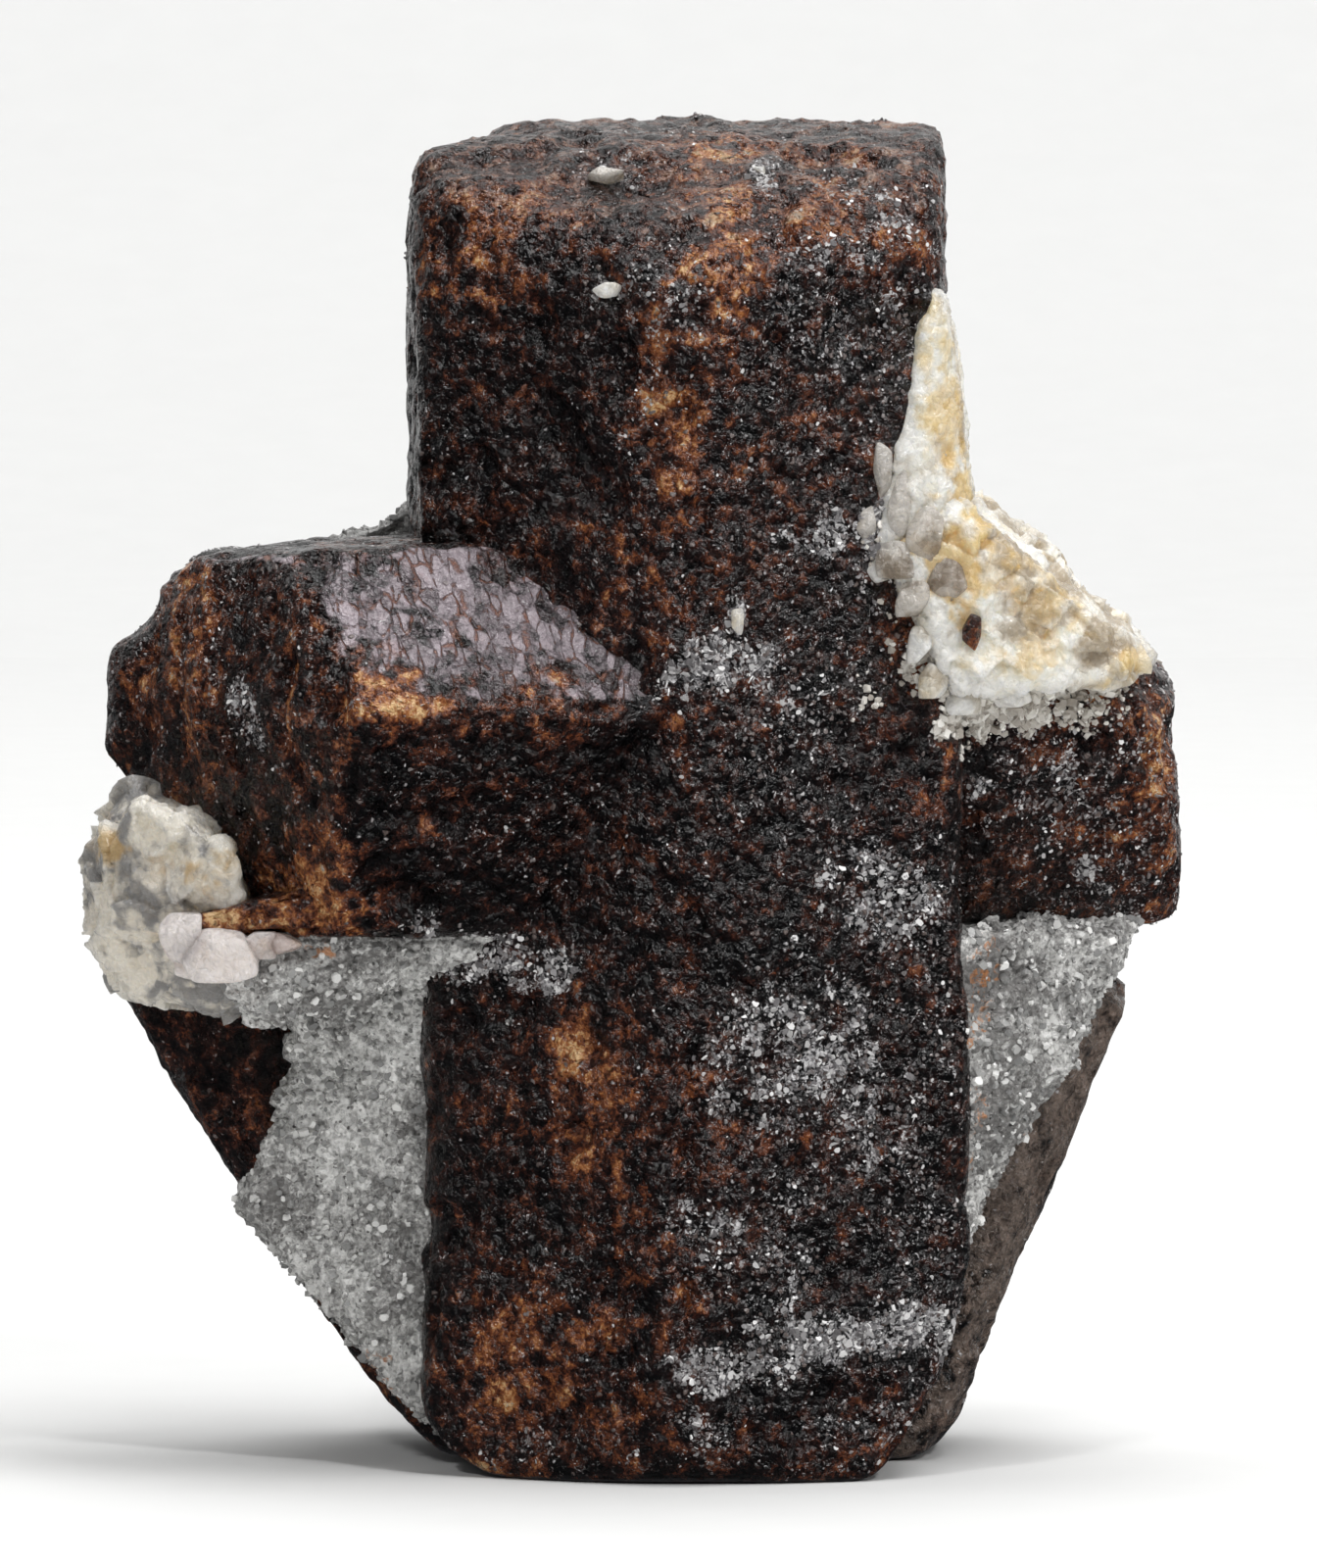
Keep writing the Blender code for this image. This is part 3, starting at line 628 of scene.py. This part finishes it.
REAR_FACES = [
    ((0, -1, 0), (0, -0.6, 0)),
    ((0.03, -0.12, 1), (0, 3, 11.2)),
    ((0, 0.86, 0.51), (0, 8.1, 6.2)),
    ((0, 0.9, -0.43), (0, 8.1, 6.2)),
    ((-0.844, 0, -0.537), (-10.95, 0, 9.3)),
    ((-0.65, -0.7, -0.25), (-9.8, -1, 10)),
    ((-0.6, 0.78, 0), (-9, 5.6, 0)),
    ((0.932, 0, -0.362), (11.1, 0, 9.7)),
    ((0.85, 0, -0.53), (8.4, 0, 2)),
    ((0.76, -0.6, -0.22), (9.3, -0.7, 8)),
    ((0.55, 0.83, 0), (8.2, 6, 0)),
    ((-0.613, 0, -0.789), (-6.1, 0, 1.4)),
    ((0, 0, -1), (0, 0, 0)),
]
rear_rays = spindle_rays((-3.5, 3.2, 6.0), (4.0, 3.2, 6.0), (0, -1, 0), 240, 90, 80)


def rear_marks(points, outward, edge):
    """The upright's marks with less mica, and a grey-brown painted sheen on the right faces that look to the
    front.
    """
    marks = upright_marks(points, outward, edge)
    marks["mica"] = marks["mica"] * 0.4
    ragged = rough_noise(points, 1.8, 77, 4, 0.7)
    to_front = smooth(0.45, -0.25, outward[..., 1] + 0.3 * ragged)
    # Painted sheen on the right faces that look to the front
    marks["painted_sheen"] = smooth(3.0, 9.0, points[..., 0] + 2.2 * ragged) * to_front
    return marks


rear_skin = crystal("rear_crystal", REAR_FACES, rear_rays, 3, staurolite, rear_marks, 4.5)


# Mica flakes
# Pale mica that the schist left on the crystals: thin six-sided flakes stuck to the skin at all angles,
# crowded in the frosted patches and sprinkled elsewhere.

FLAKE_COUNT = 9000
FLAKE_SPIN = np.arange(6) * math.pi / 3


def stuck_plates(name, skins, count, seed, radii, thickness, tilt, material, node):
    """Six-sided plates stuck to the skins at random, more and larger where the pull is strong, as one mesh.

    Each skin is its points, outward normals and pull. A plate's chance is its site's area times pull to the
    power 1.6, its radius runs from the first to the second of radii with pull, and its normal leans from the
    skin's by tilt.
    """
    chance = np.random.default_rng(seed)
    steps = [np.cross(np.roll(at, -1, axis=1) - at, np.gradient(at, axis=0)) for at, _, _ in skins]
    area = np.concatenate([np.linalg.norm(step, axis=-1).ravel() for step in steps])
    points, outward = (np.concatenate([skin[part].reshape(-1, 3) for skin in skins]) for part in (0, 1))
    pull = np.clip(np.concatenate([skin[2].ravel() for skin in skins]) - 0.02, 0.0, 1.3)
    weight = area * pull ** 1.6 * (points[:, 2] > 0.3)
    sites = chance.choice(len(weight), count, p=weight / weight.sum())
    outward = outward[sites]
    lean = outward + chance.normal(0.0, tilt, (count, 3))
    lean /= np.linalg.norm(lean, axis=1)[:, None]
    across = np.cross(lean, chance.normal(size=(count, 3)))
    across /= np.linalg.norm(across, axis=1)[:, None]
    beside = np.cross(lean, across)
    radius = radii[0] + (radii[1] - radii[0]) * np.minimum(pull[sites], 1.0)
    radius = radius * np.exp(np.clip(chance.normal(0.0, 0.40, count), -0.8, 0.55))
    uneven = chance.uniform(0.72, 1.2, (count, 6)) * radius[:, None]
    wide = (uneven * np.cos(FLAKE_SPIN) * 1.25)[..., None] * across[:, None]
    rim = wide + (uneven * np.sin(FLAKE_SPIN))[..., None] * beside[:, None]
    half_thick = (radius * chance.uniform(*thickness, count))[:, None, None] * lean[:, None]
    scatter = chance.normal(0.0, 0.05, (count, 3))
    scatter -= outward * (scatter * outward).sum(axis=1)[:, None]
    middles = (points[sites] + scatter)[:, None]
    corners_at = np.concatenate([middles + rim + half_thick, middles + rim - half_thick], axis=1)
    corners_at[..., 2] = np.maximum(corners_at[..., 2], 0.02)
    turn = np.arange(6)
    after = (turn + 1) % 6
    walls = np.stack([after, turn, turn + 6, after + 6], axis=-1).ravel()
    corners = np.arange(count)[:, None] * 12 + np.concatenate([turn, turn[::-1] + 6, walls])
    sizes = np.tile([6, 6] + [4] * 6, count)
    luck = {"luck": np.repeat(chance.uniform(0.0, 1.0, count), 12)}
    new_piece(
        name, corners_at.reshape(-1, 3), corners.ravel(), sizes, luck, material, node, rounded=False,
    )


def plate_finish(name, dull, bright):
    """Pearly or glassy plates, each its own shade between dull and bright."""
    f = Finish(name, 0.2, 1.58)
    f.let_light_in(0.10, (0.3, 0.3, 0.3))
    cleavage = f.cloud(0.05, 2.0)
    luck = f.mark("luck")
    body = f.mix(f.sum(f.times(luck, luck), cleavage, 0.15), dull, bright)
    shine = f.step(cleavage, 0.3, 0.7, 0.06, 0.24)
    return f.finish(body, shine, cleavage, 0.01, f.add("ShaderNodeNewGeometry").outputs["Normal"])


crystal_skins = [upright_skin, cross_skin, ledge_skin, rear_skin]
mica_pearl = plate_finish("mica", colour(78, 74, 76), colour(242, 240, 239))
stuck_plates(
    "mica_flakes", crystal_skins, FLAKE_COUNT, 41, (0.024, 0.052), (0.08, 0.28), 0.6,
    mica_pearl, "staurolite_cross",
)


# Schist
# Fine-grained grey mica schist, the rock that the crystals grew in: sugary quartz grains with dark mica
# specks. It still fills the corners under both arms and one behind the left arm.

SCHIST_LEFT_FACES = [
    ((-0.42, -1, -0.1), (-5, -2.7, 8)),
    ((-0.95, 0, 0.3), (-7.9, 0, 9.6)),
    ((-0.747, 0, -0.664), (-8.1, 0, 4.7)),
    ((-0.613, 0, -0.789), (-5.8, 0, 1.7)),
    ((1, 0, 0), (-1.6, 0, 0)),
    ((0, 1, 0), (0, 0.9, 0)),
    ((0, 0, 1), (0, 0, 14)),
    ((0, 0, -1), (0, 0, 0.5)),
]
SCHIST_SHELF_FACES = [
    ((0.3, -0.95, 0.05), (-5, -5, 12.2)),
    ((0.15, -0.8, -0.6), (-5, -4.55, 11.5)),
    ((-0.1, -1, 0.05), (-7, -5.3, 12.2)),
    ((-0.95, 0, -0.3), (-9.2, 0, 12)),
    ((0.25, 0, -1), (-7, 0, 10.7)),
    ((0, 0, 1), (0, 0, 12.75)),
    ((1, 0, 0), (-2, 0, 0)),
    ((0, 1, 0), (0, 0, 0)),
]
SCHIST_RIGHT_FACES = [
    ((0.7, -1, -0.08), (7.7, -3.5, 9)),
    ((1, 0, -0.55), (11.6, 0, 12.2)),
    ((0.856, 0, -0.516), (9.6, 0, 6.6)),
    ((-1, 0, 0), (7.15, 0, 0)),
    ((0, 1, 0), (0, 3.6, 0)),
    ((0, 0, 1), (0, 0, 12.6)),
    ((0, 0, -1), (0, 0, 3.4)),
]
SCHIST_BACK_FACES = [
    ((-1, 0.1, 0.12), (-9, 0, 14)),
    ((-0.3, 0.95, 0.1), (-3.5, 6.4, 16)),
    ((-0.42, 0.25, 0.88), (-5.4, 3, 21.9)),
    ((0.8, 0.6, 0), (-0.4, 6, 0)),
    ((0, -1, 0), (0, 2, 0)),
    ((-0.3, 0.3, -0.9), (-4, 5, 11.2)),
    ((0, 0, -1), (0, 0, 10)),
]


def schist_finish():
    """Pale grey rock grain by grain: most grains whitish, some grey, a few dark, with rust where marked."""
    f = Finish("schist", 0.6, 1.54)
    f.warp(0.14, 0.09)
    distance, grain = f.cells(0.19)
    small_distance, small_grain = f.cells(0.09)
    lot, luck = f.numbers_of(grain)
    small_lot, _ = f.numbers_of(small_grain)
    fine = f.cloud(0.13, 3.0, 0.7)
    shade = f.sum(f.sum(f.sum(f.times(fine, 1.4), lot, 0.45), small_lot, 0.30), f.mark("tone"), 0.30)
    body = f.mix(f.step(shade, 0.60, 1.60), colour(130, 128, 126), colour(247, 246, 243))
    dark = f.times(f.step(small_lot, 0.93, 0.96), f.step(small_distance, 0.35, 0.60, 0.8, 0.0))
    body = f.mix(dark, body, colour(62, 56, 54))
    rust = f.sum(f.sum(f.mark("rust"), fine, 1.6), lot, 0.60)
    body = f.mix(f.step(rust, 1.65, 2.00, 0.0, 0.85), body, colour(184, 120, 66))
    shine = f.step(luck, 0.0, 1.0, 0.14, 0.55)
    material = f.finish(body, shine, f.sum(fine, distance, -1.0), 0.12, f.facets(grain, 0.80))
    f.let_light_in(0.10, (0.4, 0.4, 0.4))
    return material


def rock(
    name, faces, rays, seed, material, node, rust_places, grey_and_shade_places=(),
    lumps=0.26, grain=0.13, wear=4.0, crystals=0.7, facets=0.10,
):
    """A body of rock: a worn block with lumps, ledges and single grains standing out of it.

    Crystals is the spacing of the ledges and facets their height. Returns the skin's points, its outward
    normals and an even pull, for what is stuck to it.
    """
    origins, directions, (pole_origins, pole_rays) = rays
    points, outward, _ = worn_block(faces, origins, directions, np.full(origins.shape[:-1], wear))
    tips, tip_outward, _ = worn_block(faces, pole_origins, pole_rays, np.full(2, wear))

    def lumpy(at, normal):
        broad = rough_noise(at, 1.9, seed, 4, 0.55) * lumps
        dome, number, _ = grain_cells(at, 0.28, seed + 9)
        _, _, facet = grain_cells(at, crystals, seed + 19)
        bumps = (dome * (0.35 + number) - 0.5) * grain + facet * facets
        return at + normal * (broad + bumps)[..., None]

    # Grey places lower the tone: greyer, glassier quartz, and over the right schist rock painted shade
    greyed_and_shaded = patches(points, outward, grey_and_shade_places, seed + 39, 0.0)
    marks = {
        "rust": patches(points, outward, rust_places, seed + 29, 0.25),
        "tone": rough_noise(points, 1.8, seed + 49, 5, 0.65) - greyed_and_shaded,
    }
    skin = lumpy(points, outward)
    closed_skin(name, skin, lumpy(tips, tip_outward), marks, material, node)
    return skin, outward, np.ones(skin.shape[:-1])


schist = schist_finish()
left_rays = spindle_rays((-4.7, -0.8, 3.6), (-4.8, -0.8, 11.5), (0, -1, 0), 240, 130, 40, crowding=0.3)
left_skin = rock(
    "schist_left_rock", SCHIST_LEFT_FACES, left_rays, 4, schist, "schist_left",
    [(-5.4, 2.2, 0.7, 0.6, 0.5)],
)
shelf_rays = spindle_rays((-8.6, -3.0, 11.6), (-3.0, -3.0, 12.0), (0, -1, 0), 200, 110, 30, crowding=0.3)
shelf_skin = rock(
    "schist_shelf", SCHIST_SHELF_FACES, shelf_rays, 13, schist, "schist_left",
    [(-6.9, 12.0, 0.6, 0.3, 0.8)],
)
right_rays = spindle_rays((7.9, 0.3, 6.2), (8.3, 0.3, 10.4), (0, -1, 0), 220, 70, 50, crowding=0.3)
SCHIST_RUST = [(7.9, 10.4, 0.4, 2.0, 0.60), (7.9, 8.0, 0.3, 1.0, 0.5), (9.4, 6.4, 0.6, 0.9, 0.4)]
# The grey place over the whole right rock darkens it: painted shade
right_skin = rock(
    "schist_right_rock", SCHIST_RIGHT_FACES, right_rays, 5, schist, "schist_right", SCHIST_RUST,
    [(8.6, 8.4, 3.0, 5.0, 0.9)],
)
back_rays = spindle_rays((-4.5, 4.0, 13.5), (-4.2, 4.0, 19.0), (0, 1, 0), 220, 90, 45)
back_skin = rock(
    "schist_back_rock", SCHIST_BACK_FACES, back_rays, 6, schist, "schist_back",
    [(-6.0, 15.0, 1.0, 1.5, 0.5)], lumps=0.44, wear=3.2,
)


# Quartz sugar
# The schist's broken surface glitters with loose-standing quartz crumbs, chunky and clear to white.

sugar = plate_finish("quartz_sugar", colour(120, 120, 119), colour(250, 249, 246))
SUGARED = (
    ("sugar_left", [left_skin, shelf_skin], 5200, "schist_left"),
    ("sugar_right", [right_skin], 2600, "schist_right"),
    ("sugar_back", [back_skin], 2400, "schist_back"),
)
for seed, (name, skins, count, node) in enumerate(SUGARED):
    stuck_plates(name, skins, count, 51 + seed, (0.05, 0.06), (0.35, 0.8), 0.8, sugar, node)


# White quartz
# Milky quartz against the upright's right edge and over the right arm: a thin strip that widens downwards
# into a wedge, white and glassy, with honey-yellow stain along the bend.

QUARTZ_STRIP_FACES = [
    ((0.995, 0, 0.1), (7.75, 0, 22)),
    ((-0.98, 0, 0.205), (5.9, 0, 23.4)),
    ((math.sin(SHALLOW_SLOPE), -math.cos(SHALLOW_SLOPE), 0.0), (UPRIGHT_RIDGE_X, -6.45, 0.0)),
    ((0.75, -0.66, 0), (7.3, -4.2, 0)),
    ((0.2, 0.35, 1), (7.2, -4.5, 27.5)),
    ((0, 1, 0.45), (0, 2.4, 21)),
    ((-0.3, 0, -0.95), (5.9, 0, 20.6)),
]
QUARTZ_WEDGE_FACES = [
    ((0.627, 0, 0.779), (8, 0, 21.9)),
    ((0.1, -0.87, 0.22), (8, -5, 19.6)),
    ((0.3, -0.95, 0), (8, -4.65, 17.4)),
    ((-0.912, 0, -0.41), (6.2, 0, 19.9)),
    ((-0.7, 0, 0.71), (5.6, 0, 21.7)),
    ((0.98, -0.1, 0.1), (12.1, 0, 18)),
    ((0.05, 0.05, -0.99), (8, -4.4, 17.8)),
    ((-0.25, 1, 0.35), (8, 2.6, 20)),
]


def quartz_finish(name, white, grey, stain, cloudiness, clearness):
    """Milky quartz: white and glassy grey grains that light enters a little, stained where marked."""
    f = Finish(name, 0.25, 1.54)
    f.warp(0.24, 0.20)
    distance, grain = f.cells(0.34)
    small_distance, small_grain = f.cells(0.17)
    lot, _ = f.numbers_of(grain)
    _, small_luck = f.numbers_of(small_grain)
    fine = f.cloud(0.2, 3.0, 0.7)
    milk = f.sum(f.times(f.mark("tone"), 0.9), f.cloud(1.0, 3.0, 0.6), 2.0)
    milk = f.sum(milk, f.sum(lot, fine, 1.2), 0.35)
    body = f.mix(f.step(milk, 0.65, 1.60), grey, white)
    stained = f.sum(f.mark("rust"), f.sum(lot, fine, 2.0), 0.25)
    body = f.mix(f.step(stained, 0.40, 1.40, 0.0, 0.80), body, stain)
    shine = f.step(f.sum(small_luck, fine, 0.6), 0.3, 1.2, 0.04, 0.30)
    height = f.sum(f.sum(f.times(fine, 0.08), distance, -0.07), small_distance, -0.03)
    material = f.finish(body, shine, height, 1.0, f.facets(small_grain, 0.55))
    f.let_light_in(cloudiness, (1.4, 1.3, 1.1))
    f.shader.inputs["Transmission Weight"].default_value = clearness
    return material


white_quartz = quartz_finish(
    "white_quartz", colour(255, 250, 239), colour(182, 169, 150), colour(232, 196, 126), 0.55, 0.10,
)
YELLOW = [
    (7.5, 21.8, 1.1, 2.2, 1.1), (8.2, 20.4, 1.8, 2.6, 0.45), (7.1, 24.0, 0.7, 2.4, 0.75),
    (9.4, 19.6, 1.7, 1.1, 0.55), (8.2, 20.2, 0.8, 0.8, 0.6), (11.6, 18.6, 0.8, 0.7, 0.7),
    (7.3, 26.0, 0.3, 0.8, 0.3),
]
GLASSY = [(6.2, 21.6, 0.8, 1.6, 0.8), (10.4, 19.2, 0.5, 0.5, 0.7)]
strip_rays = spindle_rays((6.7, -1.8, 21.8), (7.1, -1.6, 26.3), (0.5, -1, 0), 200, 90, 40, crowding=0.3)
rock(
    "quartz_strip", QUARTZ_STRIP_FACES, strip_rays, 7, white_quartz, "quartz_right",
    YELLOW, (), lumps=0.11, grain=0.035, wear=5.0, crystals=0.8, facets=0.07,
)
wedge_rays = spindle_rays((8.6, -2.6, 19.4), (8.6, 1.0, 19.4), (0, 0, -1), 240, 60, 80)
rock(
    "quartz_wedge", QUARTZ_WEDGE_FACES, wedge_rays, 8, white_quartz, "quartz_right",
    YELLOW, GLASSY, lumps=0.24, grain=0.05, wear=4.5, crystals=0.8, facets=0.17,
)


# Grey quartz
# Half-clear grey quartz that wraps the lower corner of the left arm's broken end, lumpy and wet-looking.

QUARTZ_LEFT_FACES = [
    ((-1, 0, 0), (-12.5, 0, 0)),
    ((-0.896, 0, 0.443), (-11.7, 0, 15.4)),
    ((-0.916, 0, -0.402), (-12.4, 0, 12.2)),
    ((-0.81, 0, -0.584), (-11.8, 0, 10.5)),
    ((0.3, 0, 0.95), (-10.6, 0, 15.5)),
    ((0.8, 0, 0.6), (-8.95, 0, 14.3)),
    ((1, 0, 0.1), (-8.6, 0, 13)),
    ((-0.5, -0.86, -0.1), (-10.2, -4.6, 13.5)),
    ((-0.1, -0.8, -0.6), (-9.5, -3.8, 11.5)),
    ((-0.3, 0.95, 0), (-10.5, 2.6, 0)),
    ((0, 0, -1), (0, 0, 10.7)),
]
grey_quartz = quartz_finish(
    "grey_quartz", colour(240, 232, 218), colour(152, 150, 148), colour(206, 172, 118), 0.50, 0.12,
)
GREY_STAIN = [(-9.6, 14.0, 1.1, 0.7, 0.7), (-12.2, 14.4, 0.5, 0.4, 1.0)]
GREY_FOOT = [(-11.0, 11.8, 1.8, 1.3, 1.0)]
grey_rays = spindle_rays((-9.9, -2.4, 13.0), (-9.7, 0.8, 13.0), (-1, 0, 0), 240, 50, 75, crowding=0.2)
rock(
    "grey_quartz_lump", QUARTZ_LEFT_FACES, grey_rays, 9, grey_quartz, "quartz_left",
    GREY_STAIN, GREY_FOOT, lumps=0.22, grain=0.04, wear=4.0, crystals=1.1, facets=0.24,
)


# Quartz teeth
# Single blunt quartz grains stand along the white quartz's ragged rim, grey-brown glassy ones on its left and
# milky ones below, with loose crumbs round them. A red-brown staurolite grain is caught in the quartz, and a
# few pale grains sit on the upright.

GLASS_TEETH = [
    ((5.65, -4.66, 22.9), (0.26, 0.28, 0.74)), ((6.1, -4.66, 22.2), (0.34, 0.32, 0.84)),
    ((6.65, -4.72, 21.5), (0.46, 0.36, 0.7)), ((5.3, -4.8, 21.8), (0.28, 0.26, 0.5)),
    ((5.95, -4.76, 21), (0.46, 0.36, 0.46)), ((7.15, -4.72, 20.5), (0.5, 0.32, 0.56)),
    ((6.35, -4.95, 20.1), (0.4, 0.28, 0.42)), ((-0.6, -2.9, 29.62), (0.42, 0.42, 0.22)),
]
MILK_TEETH = [
    ((6.85, -4.62, 18.2), (0.36, 0.3, 0.46)), ((7.5, -4.16, 17.7), (0.44, 0.32, 0.3)),
    ((8.6, -3.95, 17.85), (0.5, 0.34, 0.28)), ((6.5, -4.84, 19.1), (0.3, 0.24, 0.48)),
    ((5.6, -4.7, 20.7), (0.34, 0.26, 0.34)), ((-0.56, -5.34, 27.07), (0.36, 0.22, 0.2)),
    ((2.4, -5.84, 19.6), (0.15, 0.14, 0.32)), ((3, -2.75, 29.56), (0.22, 0.36, 0.26)),
]
DARK_GRAINS = [((7.70, -4.74, 19.35), (0.22, 0.16, 0.50))]


def blunt_grains(name, places, seed, material, node, stain=0.0, fineness=14):
    """Blunt, many-sided grains as one piece: worn blocks cut by random planes, stretched to their half sizes.

    Stain is rust on top of a faint clouded one, and fineness the rings from a grain's middle to its end.
    """
    rays = spindle_rays((-0.05, 0, 0), (0.05, 0, 0), (0, -1, 0), 4 * fineness, 3, fineness)
    start, directions, (pole_start, pole_rays) = rays
    faces, sizes = skin_faces(*directions.shape[:2])
    grains = []
    for index, (middle, half) in enumerate(places):
        chance = np.random.default_rng(seed + index)
        sides = chance.normal(size=(16, 3))
        sides /= np.linalg.norm(sides, axis=1)[:, None]
        blunt = [(side, side * far) for side, far in zip(sides, chance.uniform(0.72, 0.98, 16))]
        blunt += [(side, side) for side in np.concatenate([np.eye(3), -np.eye(3)])]
        shape, _, _ = worn_block(blunt, start, directions, np.full(directions.shape[:-1], 20.0))
        tips, _, _ = worn_block(blunt, pole_start, pole_rays, np.full(2, 20.0))
        grains.append(np.array(middle) + np.array(half) * np.concatenate([shape.reshape(-1, 3), tips]))
    corners = np.concatenate([faces + index * len(grains[0]) for index in range(len(grains))])
    points = np.concatenate(grains)
    stains = {
        "rust": smooth(0.2, 0.8, noise(points, 0.8, 95)) * 0.4 + stain,
        "tone": rough_noise(points, 0.9, 96, 4),
    }
    new_piece(name, points, corners, np.tile(sizes, len(grains)), stains, material, node)


glass_quartz = quartz_finish(
    "glass_quartz", colour(222, 214, 204), colour(146, 134, 120), colour(206, 176, 130), 0.35, 0.30,
)
blunt_grains("glass_teeth", GLASS_TEETH, 40, glass_quartz, "quartz_right")
blunt_grains("milk_teeth", MILK_TEETH, 60, white_quartz, "quartz_right")
crumbly = plate_finish("rim_crumb", colour(168, 160, 150), colour(252, 249, 242))
CRUMBLED = [
    (6.5, 18.7, 0.6, 1.2, 0.9), (7.6, 17.6, 1.4, 0.7, 1.1), (5.9, 20.8, 0.5, 1.2, 0.6),
    (9.6, 17.7, 1.6, 0.5, 0.7),
]
rim_skins = [
    (skin, outward, patches(skin, outward, CRUMBLED, 97, 0.0)) for skin, outward, _ in crystal_skins[:2]
]
stuck_plates(
    "rim_crumbs", rim_skins, 2200, 58, (0.03, 0.075), (0.4, 0.9), 0.9,
    crumbly, "quartz_right",
)
blunt_grains("dark_grain", DARK_GRAINS, 80, staurolite, "staurolite_cross", stain=1.3)


# Pale quartz grains
# A cluster of pinkish quartz grains under the front edge of the left arm: blunt, many-sided and half-clear.

GRAINS = [
    ((-10.25, -4.8, 12.36), (0.52, 0.62, 0.6)), ((-9.38, -5, 12.08), (0.95, 0.8, 0.66)),
    ((-8.52, -5, 12.2), (0.48, 0.5, 0.36)), ((-7.95, -5, 12.28), (0.5, 0.44, 0.26)),
    ((-9.75, -4.5, 11.75), (0.62, 0.55, 0.42)),
]
pink_quartz = quartz_finish(
    "pink_quartz", colour(244, 232, 226), colour(220, 198, 190), colour(206, 160, 122), 0.45, 0.10,
)
blunt_grains("pale_grains", GRAINS, 5, pink_quartz, "quartz_grains", fineness=24)


# Floor, light and camera
# A plain pale sweep, a soft lamp overhead, weaker ones in front and at the side and one on the backdrop, and
# a long lens a little above the group's middle.

SWEEP_WIDTH = 1.6
SWEEP_START = 0.35
SWEEP_RADIUS = 0.25
paper = Finish("paper", 0.9, 1.45)
tooth = paper.cloud(3.0, 2.0)
paper.finish(
    paper.mix(tooth, colour(229, 229, 228), colour(233, 233, 232)),
    paper.step(tooth, 0.0, 1.0, 0.85, 0.95), tooth, 0.002,
    paper.add("ShaderNodeNewGeometry").outputs["Normal"],
)


def sheet(name, profile):
    """A wide strip of paper that follows these (y, z) points, facing up and to the front."""
    sides = np.array([-SWEEP_WIDTH / 2, SWEEP_WIDTH / 2])
    points = np.concatenate([np.insert(profile, 0, side, axis=1) for side in sides])
    rows = len(profile)
    lower = np.arange(rows - 1)
    mesh = bpy.data.meshes.new(name)
    faces = np.stack([lower, lower + rows, lower + rows + 1, lower + 1], axis=-1)
    mesh.from_pydata(points.tolist(), [], faces.tolist())
    mesh.polygons.foreach_set("use_smooth", np.ones(rows - 1, bool))
    mesh.materials.append(paper.material)
    made = bpy.data.objects.new(name, mesh)
    bpy.context.scene.collection.objects.link(made)
    return made


bend = np.linspace(0.0, math.pi / 2, 12)
curve = np.stack([np.sin(bend), 1.0 - np.cos(bend)], axis=-1) * SWEEP_RADIUS + [SWEEP_START, 0.0]
sheet("backdrop", np.concatenate([curve, [[SWEEP_START + SWEEP_RADIUS, 1.0]]]))
# The floor lights the group but isn't mirrored in it, as if dark cards lay in front of it
floor = sheet("floor", np.array([[-0.6, 0.0], [SWEEP_START, 0.0]]))
floor.visible_glossy = False


def lamp(name, place, size, power, target=(0.0, 0.0, 0.015)):
    """A square soft lamp that looks from place to target, which is the group's middle if not given."""
    light = bpy.data.lights.new(name, "AREA")
    light.size = size
    light.energy = power
    made = bpy.data.objects.new(name, light)
    bpy.context.scene.collection.objects.link(made)
    made.location = place
    aim = np.array(target) - np.array(place)
    made.rotation_euler = (math.atan2(math.hypot(aim[0], aim[1]), -aim[2]), 0.0, math.atan2(-aim[0], aim[1]))


lamp("overhead", (0.10, -0.09, 0.38), 0.15, 0.75)
lamp("front_left", (-0.16, -0.32, 0.30), 0.04, 0.40)
lamp("front_right", (0.22, -0.28, 0.33), 0.04, 0.60)
lamp("right_side", (0.38, -0.10, 0.20), 0.14, 0.25)
lamp("backdrop", (0.0, 0.18, 0.60), 0.50, 3.35, target=(0.0, 0.55, 0.15))
world = bpy.data.worlds.new("room")
bpy.context.scene.world = world
world.use_nodes = True
world.node_tree.nodes["Background"].inputs[0].default_value = (0.92, 0.95, 1.0, 1.0)
world.node_tree.nodes["Background"].inputs[1].default_value = 0.06

# The photo's size and the group's foot in its pixels, and what one pixel is at the group
PHOTO_WIDE, PHOTO_HIGH = 1344, 1600
FOOT_PIXEL = (645, 1508)
PIXEL = 0.0225 * MM
CAMERA_RISE = math.radians(3.5)
CAMERA_FAR = 0.35
FOOT_DROP = 0.34 * MM
SENSOR = 36.0
camera = bpy.data.objects.new("camera", bpy.data.cameras.new("camera"))
bpy.context.scene.collection.objects.link(camera)
across, down = PHOTO_WIDE / 2 - FOOT_PIXEL[0], FOOT_PIXEL[1] - PHOTO_HIGH / 2
aim_at = np.array([across * PIXEL, 0.0, down * PIXEL - FOOT_DROP])
camera.location = aim_at + np.array([0.0, -math.cos(CAMERA_RISE), math.sin(CAMERA_RISE)]) * CAMERA_FAR
camera.rotation_euler = (math.pi / 2 - CAMERA_RISE, 0.0, 0.0)
camera.data.sensor_width = SENSOR
camera.data.lens = SENSOR * CAMERA_FAR / (PHOTO_HIGH * PIXEL)
camera.data.clip_start = 0.01
camera.data.clip_end = 10.0
bpy.context.scene.camera = camera
bpy.context.scene.view_settings.view_transform = "Standard"
